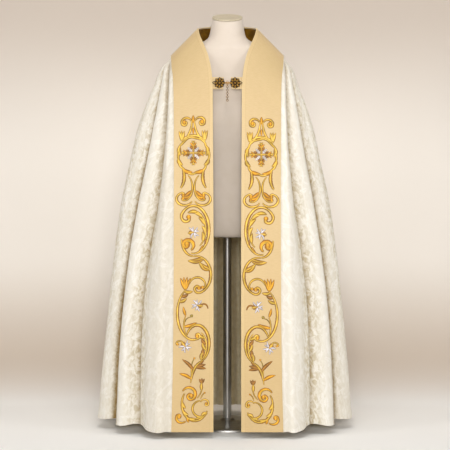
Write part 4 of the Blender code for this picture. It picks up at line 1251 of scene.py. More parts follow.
def piping_finish(colours):
    shader = Shader("Turned edge", colours.band_edge, 0.42)
    cloth = shader.cloth()
    tint = shader.mix(shader.noise(cloth, 80.0), colours.band_edge, srgb(226, 200, 144))
    shader.set(Base_Color=tint, Sheen_Weight=0.2)
    shader.bump(shader.threads(cloth, 0.0010, 0.7), 0.00012, 0.7)
    return shader.material


def gilt_finish(name, tint, dark, roughness):
    """Gilt metal, darker in random patches and rubbed bright in places."""
    shader = Shader(name, tint, roughness, 0.72)
    place = shader.place()
    tarnish = shader.noise(place, 420.0, 4.0, 0.6)
    tone = shader.mix(shader.between(tarnish, 0.38, 0.66), tint, dark)
    shader.set(Base_Color=tone, Roughness=shader.between(tarnish, 0.3, 0.7, roughness * 0.8, roughness * 1.4))
    shader.bump(shader.noise(place, 900.0, 2.0), 0.00012, 0.4)
    return shader.material


def enamel_finish(colours):
    shader = Shader("Dark ground", colours.enamel, 0.55)
    place = shader.place()
    spots = shader.noise(place, 700.0, 3.0)
    shader.set(
        Base_Color=shader.mix(shader.between(spots, 0.4, 0.7), colours.enamel, srgb(48, 32, 14)),
        Specular_IOR_Level=0.25,
    )
    shader.bump(spots, 0.0001, 0.4)
    return shader.material


def jersey_finish(colours):
    """Cream jersey stretched smooth on the form."""
    shader = Shader("Cream jersey", colours.jersey, 0.62)
    place = shader.place()
    mottle = shader.noise(place, 26.0, 3.0)
    tint = shader.mix(shader.between(mottle, 0.3, 0.7, 0.0, 0.4), colours.jersey, srgb(203, 189, 172))
    shader.set(Base_Color=tint, Sheen_Weight=0.2, Sheen_Roughness=0.5, Specular_IOR_Level=0.3)
    shader.bump(shader.noise(place, 900.0, 2.0), 0.0002, 0.25)
    return shader.material


def cap_finish(colours):
    shader = Shader("Neck cap", colours.cap, 0.55)
    grain = shader.noise(shader.vector("MULTIPLY", shader.place(), (30.0, 420.0, 120.0)), 1.0, 4.0)
    shader.set(Base_Color=shader.mix(shader.between(grain, 0.3, 0.75), colours.cap, srgb(178, 164, 138)))
    shader.bump(grain, 0.0002, 0.4)
    return shader.material


def steel_finish(colours):
    """Brushed steel, its fine lines running round the turned pieces."""
    shader = Shader("Brushed steel", colours.steel, 0.34, 1.0)
    lines = shader.noise(shader.vector("MULTIPLY", shader.place(), (4.0, 4.0, 2400.0)), 1.0, 2.0)
    dust = shader.noise(shader.place(), 9.0, 3.0)
    shader.set(
        Roughness=shader.between(dust, 0.3, 0.7, 0.28, 0.42),
        Base_Color=shader.mix(shader.between(lines, 0.3, 0.7, 0.0, 0.5), colours.steel, srgb(150, 148, 144)),
    )
    shader.bump(lines, 0.00004, 0.5)
    return shader.material


# ---- Making the cloth ----
def make_body(sizes, colours):
    """The three widths of damask, each with its lining inside."""
    damask, lining = damask_finish(colours), lining_finish(colours)
    fallen = rows_of_fall(HEM_ROWS)
    whole, all_places, all_normals, _ = joined_surfaces(fallen)
    left, right = (int(np.searchsorted(all_places, seam)) for seam in BACK_SEAMS)
    widths = (
        ("body_left", slice(0, left + 1), (1.09, 1.49), 1.062),
        ("body_back", slice(left, right + 1), (1.19, 1.45), 1.105),
        ("body_right", slice(right, len(all_places)), (1.05, 1.49), 1.027),
    )
    for number, (node, part, flat, flat_area) in enumerate(widths):
        grid, places = whole[:, part], all_places[part]
        normals = all_normals[:, part]
        uv = cloth_uv(grid, fallen)
        grid, tone, flank = creased(grid, normals, fallen, places)
        grid = crumpled(grid, normals, sizes.crumple, 3.7 * number)
        rolled = np.isin(fallen, HEM_ROWS)[:, None, None] * HEM_ROLL
        grid = grid + normals * rolled
        grid[..., 2] += hem_lobes(fallen, places)
        drawn_in(grid, normals)
        piece = shell(f"cloth_{node}", grid, normals, sizes.body_wall, damask, lining, uv)
        # the valleys' painted shade, and the flanks that take ragged painted shade
        keep_tone(piece, "painted_fold_shade", tone)
        keep_tone(piece, "flank", flank)
        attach(piece, CLOTH_BODY)
        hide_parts(node)


def hem_lobes(fallen, places):
    """How far the hem's last part hangs lower under each fold and higher in each valley."""
    near_hem = smoothstep(LOBES_BEGIN, 1.0, fallen)[:, None]
    off_bands = smoothstep(0.0, LOBES_OFF_BAND, np.minimum(places, len(PLEATS) + 1 - places))[None, :]
    in_valley = np.cos(math.pi / 2 * places)[None, :] ** 2
    return HEM_LOBE * (in_valley - 0.5) * near_hem * off_bands


def keep_tone(piece, name, values):
    """Stores one number for each point of a sheet, the same on both of its faces."""
    layer = piece.data.attributes.new(name=name, type="FLOAT", domain="POINT")
    layer.data.foreach_set("value", np.tile(values.ravel(), 2))


def drawn_in(grid, normals, ends=((0, 1), (-1, -2))):
    """Draws the named end columns in, square to the seam, by half the gap that a seam keeps."""
    for end, inside in ends:
        square = unit(np.cross(normals[:, end], np.gradient(grid[:, end], axis=0)))
        inwards = np.sign(np.sum(square * (grid[:, inside] - grid[:, end]), axis=1, keepdims=True))
        grid[:, end] += square * inwards * SEAM_GAP / 2


def band_surface(fallen, side):
    """The front band, its columns in the same direction round the garment as the body's."""
    order = np.linspace(0, 1, BAND_STEPS + 1)
    across = (order if side < 0 else order[::-1])[None, :, None]
    inner, outer = front_edge(fallen, side)[:, None], front_seam(fallen, side)[:, None]
    grid = inner + (outer - inner) * across
    return grid, normals_of(grid, fallen, [0 if side < 0 else 1] * grid.shape[1])


def band_grid(side, ripple):
    """The front band's fine grid with its waves, its outward directions and its cloth coordinates."""
    fallen = rows_of_fall()
    grid, normals = joined_surfaces(fallen)[3][side]
    order = np.linspace(0, 1, BAND_STEPS + 1)
    across = (order if side < 0 else order[::-1])[None, :]
    uv = points_of((across - 0.5) * BAND_WIDTH, -FALL_LENGTH * fallen[:, None])
    return crumpled(grid, normals, ripple, 11.0 * side, BAND_WAVES), normals, uv


def make_bands(sizes, colours):
    """The two front bands, the collar, its dark facing and the light cord along every inner edge."""
    lame, lining, piping = lame_finish(colours), lining_finish(colours), piping_finish(colours)
    edges = []
    for side, word in SIDES:
        grid, normals, uv = band_grid(side, sizes.band_ripple)
        inner = 0 if side < 0 else -1
        edges.append(grid[:, inner] - normals[:, inner] * sizes.band_wall / 2)
        drawn = grid.copy()
        drawn_in(drawn, normals, ((-1, -2),) if side < 0 else ((0, 1),))
        piece = shell(f"band_{word}", drawn, normals, sizes.band_wall, lame, lining, uv)
        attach(piece, CLOTH_BODY)
        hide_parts(f"orphrey_{word}")

    places = np.linspace(0, len(PLEATS) + 1, (len(PLEATS) + 1) * COLLAR_STEPS + 1)
    roots = roots_at(places)
    tops, seam = collar_top(roots), neck_seam(roots)
    parts = np.linspace(0, 1, COLLAR_ROWS + 1)[:, None, None]
    outward = np.array([neck_direction(root) for root in roots])
    grid = tops + (seam - tops) * parts
    normals = np.repeat(outward[None], len(grid), axis=0)
    uv = points_of(lengths_across(grid), -BAND_WIDTH * parts[..., 0])
    collar = shell("collar_band", grid, normals, sizes.band_wall, lame, lining, uv)
    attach(collar, CLOTH_BODY)
    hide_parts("collar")

    inside = slice(COLLAR_STEPS, -COLLAR_STEPS)
    rows = np.linspace(*FACING_REACH, FACING_ROWS)[:, None, None]
    facing = tops[inside] + (seam[inside] - tops[inside]) * rows
    inward = np.repeat(outward[inside][None], len(facing), axis=0)
    facing = facing - inward * (sizes.band_wall + GAP)
    facing = crumpled(facing, inward, sizes.crumple * 0.5, 5.0)
    uv = points_of(lengths_across(facing), -BAND_WIDTH * rows[..., 0])
    old_gold = facing_finish(colours)
    piece = shell("collar_lining", facing, inward, FACING_WALL, old_gold, old_gold, uv)
    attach(piece, CLOTH_BODY)
    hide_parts("collar_facing")

    middle = tops - outward * sizes.band_wall / 2
    route = np.concatenate([edges[0][::-1], middle[1:-1], edges[1]])
    cord = tube("edge_cord", route, sizes.piping, piping)
    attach(cord, CLOTH_BODY)


# ---- Making the embroidery ----
class Needlework:
    """Gathers the stitched strips of one band."""

    def __init__(self, side, sizes):
        self.side = side
        self.height = sizes.stitch_height / MM
        self.grid, self.normals, _ = band_grid(side, sizes.band_ripple)
        self.points, self.uv, self.colours, self.faces = [], [], [], []
        self.count = 0

    def lie(self, across, down, height):
        """Points on the band, at these places and heights in millimetres."""
        fallen = DESIGN_TOP[self.side] + down * MM * DESIGN_STRETCH / FALL_LENGTH
        width = along(BANDS, "outer", fallen) - along(BANDS, "inner", fallen)
        part = np.clip(0.5 - across * MM / width, 0, 1)
        column = (part if self.side < 0 else 1 - part) * BAND_STEPS
        row = np.clip(fallen, 0, 1) ** (1 / ROW_SPREAD) * (ROWS - 1)
        i = np.clip(row.astype(int), 0, ROWS - 2)
        j = np.clip(column.astype(int), 0, BAND_STEPS - 1)
        s, t = (row - i)[..., None], (column - j)[..., None]

        def read(grid):
            top = grid[i, j] * (1 - t) + grid[i, j + 1] * t
            return top * (1 - s) + (grid[i + 1, j] * (1 - t) + grid[i + 1, j + 1] * t) * s

        return read(self.grid) + unit(read(self.normals)) * (height * MM)[..., None]

    def outlined(self, route, half_width, thread, lift=0.0, outline="shade"):
        """A strip over a flatter, darker one that shows as its outline."""
        self.strip(route, half_width + OUTLINE, outline, lift * 0.5, OUTLINE_CROWN, OUTLINE_PROFILE)
        self.strip(route, half_width, thread, lift)

    def strip(self, route, half_width, thread, lift=0.0, crown=None, profile=STITCH_PROFILE):
        """A raised strip of stitches along a route, pointed or blunt by its half widths."""
        profile = np.array(profile)
        ways = unit(np.gradient(route, axis=0))
        flat = route[:, None] + aside_of(ways)[:, None] * (profile[None, :, None] * half_width[:, None, None])
        peak = np.full(len(route), crown)
        if crown is None:
            peak = np.minimum(self.height, STITCH_RISE * half_width + STITCH_EDGE)
        rise = lift + STITCH_EDGE + peak[:, None] * np.sqrt(np.maximum(1 - profile**2, 0))[None, :]
        under = np.full((len(route), 2), -STITCH_SUNK)
        flat = np.concatenate([flat, flat[:, -1:], flat[:, :1]], axis=1)
        heights = np.concatenate([rise, under], axis=1)
        ring = len(profile) + 2
        self.points.append(self.lie(flat[..., 0], flat[..., 1], heights).reshape(-1, 3))
        reached = reached_along(route) * MM
        wide = np.concatenate([profile, profile[-1:], profile[:1]])[None, :] * half_width[:, None] * MM
        self.uv.append(points_of(reached[:, None], wide).reshape(-1, 2))
        part = np.abs(profile)[:, None]
        edge, body, light = (np.array(tone) for tone in THREADS[thread])
        shaded = body + (edge - body) * (part - LIT_PART) / (1 - LIT_PART)
        stops = np.where(part > LIT_PART, shaded, light + (body - light) * part / LIT_PART)
        tint = np.concatenate([stops, stops[-1:], stops[:1]])
        # painted sheen: stretches of each stroke lighter and darker, and strokes lighter or darker by their
        # slant
        flicker = 1 + 0.06 * np.sin(np.arange(len(route)) * 2.4 + len(self.points))
        flicker += 0.15 * np.sin(reached / MM / 7.0 + len(self.points))
        flicker += 0.22 * ways[:, 0] * ways[:, 1]
        self.colours.append((tint[None] * flicker[:, None, None]).reshape(-1, 3))
        for i in range(len(route) - 1):
            for j in range(ring):
                a = self.count + i * ring + j
                b = self.count + i * ring + (j + 1) % ring
                self.faces.append((a, a + ring, b + ring, b))
        self.faces.append(tuple(range(self.count, self.count + ring)))
        last = self.count + (len(route) - 1) * ring
        self.faces.append(tuple(reversed(range(last, last + ring))))
        self.count += len(route) * ring

    def finish(self, name, finish):
        faces = self.faces if self.side < 0 else [tuple(reversed(face)) for face in self.faces]
        made = object_of(name, np.concatenate(self.points), faces, (finish,), np.concatenate(self.uv))
        tints = made.data.color_attributes.new(name="thread", type="FLOAT_COLOR", domain="POINT")
        colours = np.clip(np.concatenate(self.colours), 0, 1)
        tints.data.foreach_set("color", np.concatenate([colours, np.ones((len(colours), 1))], axis=1).ravel())
        return made


def evenly(route):
    """Points at even steps along a smooth line through a route's points."""
    route = np.array(route, dtype=float)
    padded = np.concatenate([[2 * route[0] - route[1]], route, [2 * route[-1] - route[-2]]])
    fine = []
    for a, b, c, d in zip(padded, padded[1:], padded[2:], padded[3:]):
        for s in np.linspace(0, 1, 16, endpoint=False):
            line = 2 * b + (c - a) * s + (2 * a - 5 * b + 4 * c - d) * s * s + (3 * b - a - 3 * c + d) * s**3
            fine.append(line / 2)
    fine.append(route[-1])
    fine = np.array(fine)
    reached = reached_along(fine)
    stops = np.linspace(0, reached[-1], max(int(round(reached[-1] / STITCH_STEP)), 4) + 1)
    return np.stack([np.interp(stops, reached, fine[:, k]) for k in (0, 1)], axis=-1)


def curl(route, radius, turns):
    """The route carried on into a curl that tightens as it turns."""
    heading = math.atan2(*(route[-1] - route[-2])[::-1])
    count = max(int(abs(turns) * CURL_STEPS), 3)
    turn = math.copysign(2 * math.pi / CURL_STEPS, turns)
    place = route[-1]
    added = []
    for step in range(count):
        heading += turn
        reach = radius * CURL_TIGHTENS ** ((step + 1) / count)
        place = place + np.array((math.cos(heading), math.sin(heading))) * reach * abs(turn)
        added.append(place)
    return np.concatenate([route, added])


def mirrored(points, hand):
    """Points of the pattern on one hand of the middle line: -1 turns them over."""
    return np.asarray(points, dtype=float) * (hand, 1)


def on_oval(sweep, bearings):
    turns = np.radians(bearings)
    across = sweep.across + sweep.half_width * np.sin(turns)
    return np.stack([across, sweep.down - sweep.half_height * np.cos(turns)], axis=-1)


def sew_sweep(work, sweep, hand, lift):
    way = math.copysign(1, sweep.ends - sweep.starts)
    route = evenly(on_oval(sweep, np.linspace(sweep.starts, sweep.ends, OVAL_POINTS)))
    if sweep.radius:
        route = curl(route, sweep.radius, way * sweep.turns)
    route = mirrored(route, hand)
    part = np.linspace(0, 1, len(route))
    swell = 0.30 + 0.70 * np.sin(math.pi * np.clip(part, 0.02, 0.98)) ** 0.7
    if sweep.radius:
        swell = np.where(part > 0.5, 0.72 + 0.28 * np.cos((part - 0.5) * 2 * math.pi) ** 2, swell)
        swell[0] = 0.2
        work.outlined(*bead(route[-1], sweep.width * CURL_BEAD), "orange", lift + CURL_BEAD_LIFT)
    half = sweep.width / 2 * STROKE_FULLNESS * swell
    if sweep.width < BROAD:
        work.outlined(route, half, sweep.thread, lift)
        return
    reached = part * len(route) * STITCH_STEP
    half = half * (1 + SERRATION * np.abs(np.sin(math.pi * reached / SERRATION_LENGTH)))
    work.outlined(route, half, sweep.thread, lift)
    inward = aside_of(unit(np.gradient(route, axis=0))) * way * hand
    line = (route + inward * (half * LINING_ASIDE)[:, None])[2:-2]
    inner_thread = "gold" if sweep.thread == "orange" else "brown"
    work.strip(line, half[2:-2] * LINING_SHARE, inner_thread, lift + LINING_LIFT)


def sew_sprung(work, sprung, hand, lift):
    """Leaves springing from a sweep at even steps, every second one a little shorter."""
    sweep = ALL_SWEEPS[sprung.sweep]
    way = math.copysign(1, sweep.ends - sweep.starts)
    bow = sprung.width * way * hand / 3
    for number, bearing in enumerate(np.linspace(sprung.starts, sprung.ends, sprung.count)):
        root, ahead = on_oval(sweep, np.array((bearing, bearing + way)))
        heading = math.atan2(*(ahead - root)[::-1]) + math.radians(sprung.lean) * way
        leaning = np.array((math.cos(heading), math.sin(heading)))
        tip = root + leaning * sprung.reach * (1 - EVERY_SECOND * (number % 2))
        root, tip = mirrored(root, hand), mirrored(tip, hand)
        thread = sprung.threads[number % len(sprung.threads)]
        sew_leaf(work, Leaf(thread, sprung.width, bow, root, tip), lift + 0.12 * (number % 3))
        if sprung.width >= VEINED:
            vein = Leaf("brown", sprung.width * VEIN_WIDTH, bow, root, root + (tip - root) * VEIN_REACH)
            sew_leaf(work, vein, lift + VEIN_LIFT)


def sew_fan(work, fan, hand, lift):
    """A fan of leaves from one root on a sweep."""
    root = on_oval(ALL_SWEEPS[fan.sweep], fan.bearing)
    sewn_root = mirrored(root, hand)
    for number in range(fan.count):
        part = number / (fan.count - 1) - 0.5 if fan.count > 1 else 0.0
        turn = math.radians(fan.opens + fan.spread * part)
        tip = root + way_at(turn) * fan.reach
        sew_leaf(work, Leaf(fan.thread, fan.width, hand, sewn_root, mirrored(tip, hand)), lift)


def bead(middle, radius):
    """A round dot as a short strip."""
    part = np.linspace(-1, 1, 7)
    route = np.array(middle)[None, :] + np.stack([np.zeros(7), part * radius], axis=-1)
    return route, radius * np.sqrt(np.maximum(1 - part**2, 0.01))


def sew_leaf(work, leaf, lift):
    """A leaf, outlined, with a narrow brown rib along it if it is broad enough."""
    root, tip = np.array(leaf.root, float), np.array(leaf.tip, float)
    along_leaf = tip - root
    aside = np.array((along_leaf[1], -along_leaf[0])) / np.linalg.norm(along_leaf)
    route = evenly((root, (root + tip) / 2 + aside * leaf.bow, tip))
    part = np.linspace(0, 1, len(route))
    body = np.sin(math.pi * part**0.8) ** 0.75
    work.outlined(route, leaf.width / 2 * LEAF_FULLNESS * np.maximum(body, 0.06), leaf.thread, lift)
    if leaf.width >= RIBBED:
        rib = RIB_WIDTH * leaf.width * np.maximum(body, 0.2) * (1 - 0.5 * part)
        work.strip(route[1:-1], rib[1:-1], "brown", lift + RIB_LIFT, RIB_CROWN)


def sew_flower(work, flower, lift):
    """A white flower seen from its side: a fan of petals outlined in grey, a gold heart and a calyx."""
    middle = np.array((flower.across, flower.down), float)
    for thread, width, turn, reach in CALYX:
        back = math.radians(flower.opens + 180 + turn)
        tip = middle + way_at(back) * reach
        sew_leaf(work, Leaf(thread, width, 0, middle, tip), lift - 0.1)
    for petal in range(flower.petals):
        turn = flower.opens + flower.spread * (petal / (flower.petals - 1) - 0.5)
        reach = flower.reach * (1.0 if petal % 2 == 0 else SHORT_PETAL)
        way = way_at(math.radians(turn))
        aside = np.array((-way[1], way[0]))
        bow = PETAL_BOW if petal % 2 == 0 else -PETAL_BOW
        route = evenly((middle + way * 2, middle + way * reach * 0.55 + aside * bow, middle + way * reach))
        part = np.linspace(0, 1, len(route))
        body = np.sin(math.pi * part**0.75) ** 0.7
        work.outlined(route, FLOWER_PETAL * np.maximum(body, 0.08), "white", lift + 0.15 * petal, "grey")
    work.strip(*bead(middle, FLOWER_HEART), "gold", lift + 1.0)


def sew_wreath(work):
    """The oval of overlapping leaves round the cross."""
    middle = np.array(WREATH_MIDDLE, float)
    for number in range(WREATH_LEAVES):
        start = 2 * math.pi * number / WREATH_LEAVES
        first, last = (start + turn for turn in WREATH_LEAF_SPAN)
        turns = np.linspace(first, last, WREATH_LEAF_POINTS)
        offset = 1.0 if number % 2 else WREATH_UNDER
        rim = np.stack([np.sin(turns) * WREATH_HALF_WIDTH, -np.cos(turns) * WREATH_HALF_HEIGHT], axis=-1)
        part = np.linspace(0, 1, len(turns))
        body = np.maximum(np.sin(math.pi * part**0.7), 0.08)
        thread = ("gold", "bright")[number % 2]
        work.outlined(middle + rim * offset, WREATH_LEAF * body, thread, 0.25 * (number % 2))


def sew_cross(work):
    """An equal-armed cross with leafy ends and four white rays between its arms."""
    middle = np.array(CROSS_MIDDLE, float)

    def at(turn, reach, aside=0.0):
        way = way_at(turn)
        return middle + way * reach + np.array((-way[1], way[0])) * aside

    for quarter in range(4):
        turn = quarter * math.pi / 2
        shaft = "bright" if quarter % 2 else "gold"
        for hand in (-1, 1):
            for leaf in ARM_LEAVES:
                root = at(turn, leaf.root[0], leaf.root[1] * hand)
                tip = at(turn, leaf.tip[0], leaf.tip[1] * hand)
                sew_leaf(work, Leaf(leaf.thread, leaf.width, leaf.bow * hand, root, tip), leaf.lift)
        route = evenly((at(turn, 2), at(turn, 24), at(turn, CROSS_ARM)))
        tapering = CROSS_HALF * (1 - 0.7 * np.linspace(0, 1, len(route)))
        work.outlined(route, tapering, shaft, 1.5)
        ray = turn + math.pi / 4
        for thread, width, root, tip, lift in CROSS_RAYS:
            sew_leaf(work, Leaf(thread, width, 0, at(ray, root), at(ray, tip)), lift)
    work.strip(*bead(middle, CROSS_HEART), "gold", 1.0)


def make_embroidery(sizes):
    """The raised needlework of both bands: the right one mirrors the left."""
    finish = thread_finish()
    for side, word in SIDES:
        work = Needlework(side, sizes)
        sew_wreath(work)
        sew_cross(work)
        for hand in (-1, 1):
            for number, sweep in enumerate(PAIRED_SWEEPS.values()):
                sew_sweep(work, sweep, hand, 0.10 * (number % 4))
            for sprung in PAIRED_SPRUNG:
                sew_sprung(work, sprung, hand, 0.2)
            for number, fan in enumerate(PAIRED_FANS):
                sew_fan(work, fan, hand, 0.12 * (number % 3) + 0.1)
        for number, sweep in enumerate(SWEEPS.values()):
            sew_sweep(work, sweep, 1, 0.10 * (number % 4))
        for sprung in SPRUNG:
            sew_sprung(work, sprung, 1, 0.2)
        for number, fan in enumerate(FANS):
            sew_fan(work, fan, 1, 0.12 * (number % 3) + 0.1)
        for leaf in MIDDLE_LEAVES:
            sew_leaf(work, leaf, 0.1)
        for flower in FLOWERS:
            sew_flower(work, flower, 0.3)
        for across, down, radius in BEADS:
            work.strip(*bead((across, down), radius), "orange", 0.5)
        piece = work.finish(f"embroidery_{word}", finish)
        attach(piece, CLOTH_BODY)


# ---- Making the clasp and the chain ----
def flat_node(node):
    """A flat node's points, the middle of its box and the direction square to it."""
    points = np.array([vertex.co for vertex in frame["nodes"][node].data.vertices])
    middle = (points.min(axis=0) + points.max(axis=0)) / 2
    _, _, axes = np.linalg.svd(points - points.mean(axis=0), full_matrices=False)
    return points, middle, axes[2]


def lie_of(node):
    """The frame of a flat node: right, up and out, with its origin behind the middle of its box."""
    points, middle, square = flat_node(node)
    out = square * -np.sign(square[1])
    right = unit(np.cross((0, 0, 1), out))
    up = np.cross(out, right)
    depth = ((points - middle) @ out).min()
    turn = Matrix((right, up, out)).transposed().to_4x4()
    return Matrix.Translation(Vector(middle + out * depth)) @ turn


def wire_petal(reach, wire, height, finish):
    """A teardrop loop of wire from the rosette's middle, drawn as a closed curve and made a mesh."""
    deselect()
    bpy.ops.curve.primitive_bezier_circle_add(radius=1.0, location=(0, 0, 0))
    loop = bpy.context.object
    spline = loop.data.splines[0]
    start, width = PETAL_START, PETAL_WIDTH
    half = width / 2
    near, widest, far = (start + (reach - start) * part for part in (0.25, 0.55, 0.80))
    behind_tip, beside_tip = reach - width * 0.18, width * 0.16
    corners = (
        ((start, 0), (start, -width * 0.22), (start, width * 0.22)),
        ((widest, half), (near, half), (far, half)),
        ((reach, 0), (behind_tip, beside_tip), (behind_tip, -beside_tip)),
        ((widest, -half), (far, -half), (near, -half)),
    )
    for point, (place, before, after) in zip(spline.bezier_points, corners):
        point.handle_left_type = "FREE"
        point.handle_right_type = "FREE"
        point.co = (*place, 0)
        point.handle_left = (*before, 0)
        point.handle_right = (*after, 0)
    loop.data.dimensions = "3D"
    loop.data.bevel_depth = wire
    loop.data.bevel_resolution = 2
    loop.data.resolution_u = 8
    loop.data.materials.append(finish)
    loop.location = (0, 0, height)
    loop.rotation_euler = (0, math.radians(PETAL_TILT), 0)
    take_up(loop)
    bpy.ops.object.convert(target="MESH")
    return apply_all(bpy.context.object)


def petal_leaf(reach, finish):
    """The bright domed leaf inside a petal's loop of wire."""
    deselect()
    middle = ((PETAL_START + reach) / 2 + DOME_SHIFT, 0, PLATE_DEPTH)
    bpy.ops.mesh.primitive_circle_add(vertices=24, radius=1, fill_type="NGON", location=middle)
    leaf = bpy.context.object
    edit_all()
    half = ((reach - PETAL_START) / 2 - DOME_MARGINS[0], PETAL_WIDTH / 2 - DOME_MARGINS[1], 1)
    bpy.ops.transform.resize(value=half, center_override=middle)
    for inset, rise in DOME_TIERS:
        bpy.ops.mesh.extrude_region_move(TRANSFORM_OT_translate={"value": (0, 0, rise)})
        narrower = 1 - inset / half[1]
        bpy.ops.transform.resize(value=(narrower, narrower, 1), center_override=middle)
    bpy.ops.mesh.select_all(action="SELECT")
    bpy.ops.mesh.normals_make_consistent(inside=False)
    end_edit()
    leaf.data.materials.append(finish)
    return apply_all(leaf)


def make_rosettes(sizes, colours):
    """Two gilt rosettes: open petals of wire over a dark plate, with a knob and a beaded rim."""
    gilt = gilt_finish("Antique gilt", colours.gilt, srgb(40, 25, 9), 0.34)
    bright = gilt_finish("Bright gilt", colours.petal, srgb(120, 82, 26), 0.30)
    dark = enamel_finish(colours)
    height = PLATE_DEPTH + sizes.petal_wire * 1.2
    plate = turned("plate", PLATE_STEPS, 48, dark)
    petal = wire_petal(ROSETTE_REACH, sizes.petal_wire, height, gilt)
    long_petal = wire_petal(LONG_REACH, sizes.petal_wire * LONG_WIRE, height, gilt)
    dome = petal_leaf(ROSETTE_REACH, bright)
    rim_dot = dot(DOT_RADIUS, gilt)
    knob = turned("knob", KNOB_STEPS, 24, bright)
    for side, word in SIDES:
        parts = [copied(plate)]
        for number in range(PETALS):
            turn = 2 * math.pi * number / PETALS + (0 if side > 0 else math.pi)
            parts.append(copied(petal if number else long_petal, turn=turn))
            parts.append(copied(dome, turn=turn))
            spot = turn + math.pi / PETALS
            parts.append(copied(rim_dot, (math.cos(spot) * DOT_REACH, math.sin(spot) * DOT_REACH, height)))
        parts.append(copied(knob))
        rosette = joined(f"rosette_{word}", parts)
        place = lie_of(f"clasp_rosette_{word}")
        rosette.matrix_world = place @ Matrix.Translation((-side * ROSETTE_SHIFT, 0, 0))
        apply_all(rosette)
        smooth(rosette, 45)
        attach(rosette, CLOTH_BODY)
        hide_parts(f"clasp_rosette_{word}")
    discard((plate, petal, long_petal, dome, rim_dot, knob))


def dot(radius, finish):
    deselect()
    bpy.ops.mesh.primitive_ico_sphere_add(subdivisions=2, radius=radius, location=(0, 0, 0))
    made = bpy.context.object
    edit_all()
    bpy.ops.transform.resize(value=(1, 1, DOT_HEIGHT), center_override=(0, 0, 0))
    end_edit()
    made.data.materials.append(finish)
    return apply_all(made)


def make_tabs(colours):
    """The two cloth tabs that carry the rosettes, with softened edges."""
    lame = lame_finish(colours)
    for word in ("left", "right"):
        tab = copy_of(f"clasp_tab_{word}", f"tab_{word}")
        bevel = tab.modifiers.new("Turned edge", "BEVEL")
        bevel.width = TAB_EDGE
        bevel.segments = 3
        apply_all(tab)
        flat_cloth_uv(tab)
        tab.data.materials.append(lame)
        smooth(tab, 45)
        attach(tab, CLOTH_BODY)
        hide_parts(f"clasp_tab_{word}")


def flat_cloth_uv(item):
    """Cloth coordinates for a flat piece, read straight from the front."""
    mesh = item.data
    corners = np.empty(len(mesh.loops), dtype=np.int32)
    mesh.loops.foreach_get("vertex_index", corners)
    points = np.array([vertex.co for vertex in mesh.vertices])
    fill_loops(mesh.uv_layers.new(name="cloth").data, "uv", points[:, (0, 2)], corners)


def ring(name, middle, radius, wire, full_face, finish):
    """A ring of wire with the small swelling of its soldered joint."""
    deselect()
    turn = (math.pi / 2, 0, 0) if full_face else (0, math.pi / 2, 0)
    bpy.ops.mesh.primitive_torus_add(
        major_radius=radius,
        minor_radius=wire,
        major_segments=36,
        minor_segments=12,
        location=middle,
        rotation=turn,
    )
    made = apply_all(named(bpy.context.object, name))
    joint = Vector(middle) + (Vector((radius, 0, 0)) if full_face else Vector((0, -radius, 0)))
    bpy.ops.object.mode_set(mode="EDIT")
    bpy.ops.mesh.select_all(action="DESELECT")
    end_edit()
    for vertex in made.data.vertices:
        vertex.select = (vertex.co - joint).length < wire * JOINT_REACH
    bpy.ops.object.mode_set(mode="EDIT")
    bpy.ops.transform.resize(value=(JOINT_GROWTH,) * 3, center_override=joint)
    end_edit()
    made.data.materials.append(finish)
    return smooth(made, 60)


def make_hook(sizes, colours):
    """The hook that joins the rosettes, bound at its middle, and the eye under it."""
    gilt = gilt_finish("Hook gilt", colours.petal, srgb(104, 68, 22), 0.28)
    low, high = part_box("clasp_hook")
    middle = (low + high) / 2
    bar_z = high.z - HOOK_BAR[2] / 2
    deselect()
    bpy.ops.mesh.primitive_cube_add(size=1, location=(middle.x, middle.y, bar_z))
    bar = bpy.context.object
    edit_all()
    bpy.ops.transform.resize(value=HOOK_BAR, center_override=(middle.x, middle.y, bar_z))
    bpy.ops.mesh.bevel(offset=HOOK_EDGE, segments=3, affect="EDGES")
    end_edit()
    bar.data.materials.append(gilt)
    parts = [apply_all(bar)]
    binding = ring("binding", (0, 0, 0), BINDING_RADIUS, BINDING_WIRE, False, gilt)
    parts += [copied(binding, (middle.x + aside, middle.y, bar_z)) for aside in BINDINGS]
    discard([binding])
    eye_z = bar_z - HOOK_BAR[2] / 2 - EYE_RADIUS + sizes.link_wire / 2
    parts.append(ring("eye", (middle.x, middle.y, eye_z), EYE_RADIUS, sizes.link_wire, False, gilt))
    loop = ring("loop", (middle.x, middle.y, bar_z), LOOP_HALF[1], sizes.link_wire * LOOP_WIRE, True, gilt)
    take_up(loop)
    edit_all()
    narrowing = LOOP_HALF[0] / LOOP_HALF[1]
    bpy.ops.transform.resize(value=(narrowing, 1, 1), center_override=(middle.x, middle.y, bar_z))
    end_edit()
    parts.append(loop)
    hook = joined("hook", parts)
    smooth(hook, 50)
    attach(hook, CLOTH_BODY)
    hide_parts("clasp_hook")


def make_links(sizes, colours):
    """The chain's round links, each riding on its own body."""
    pale = gilt_finish("Pale gilt", colours.chain, srgb(96, 64, 16), 0.38)
    # painted shade: links seen edge-on take a darker copy of the gilt
    shaded_gilt = gilt_finish("Shaded gilt", srgb(84, 54, 16), srgb(40, 26, 8), 0.42)
    edge_on = ring("edge_on", (0, 0, 0), LINK_RADIUS, sizes.link_wire, False, shaded_gilt)
    full_face = ring("full_face", (0, 0, 0), LINK_RADIUS, sizes.link_wire, True, pale)
    for node in sorted(name for name in frame["nodes"] if name.startswith("chain_link_")):
        low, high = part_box(node)
        pattern = full_face if high.x - low.x > high.y - low.y else edge_on
        number = node.rsplit("_", 1)[1]
        link = named(copied(pattern, (low + high) / 2), f"link_ring_{number}")
        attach(link, f"link_{number}")
        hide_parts(node)
    discard((edge_on, full_face))


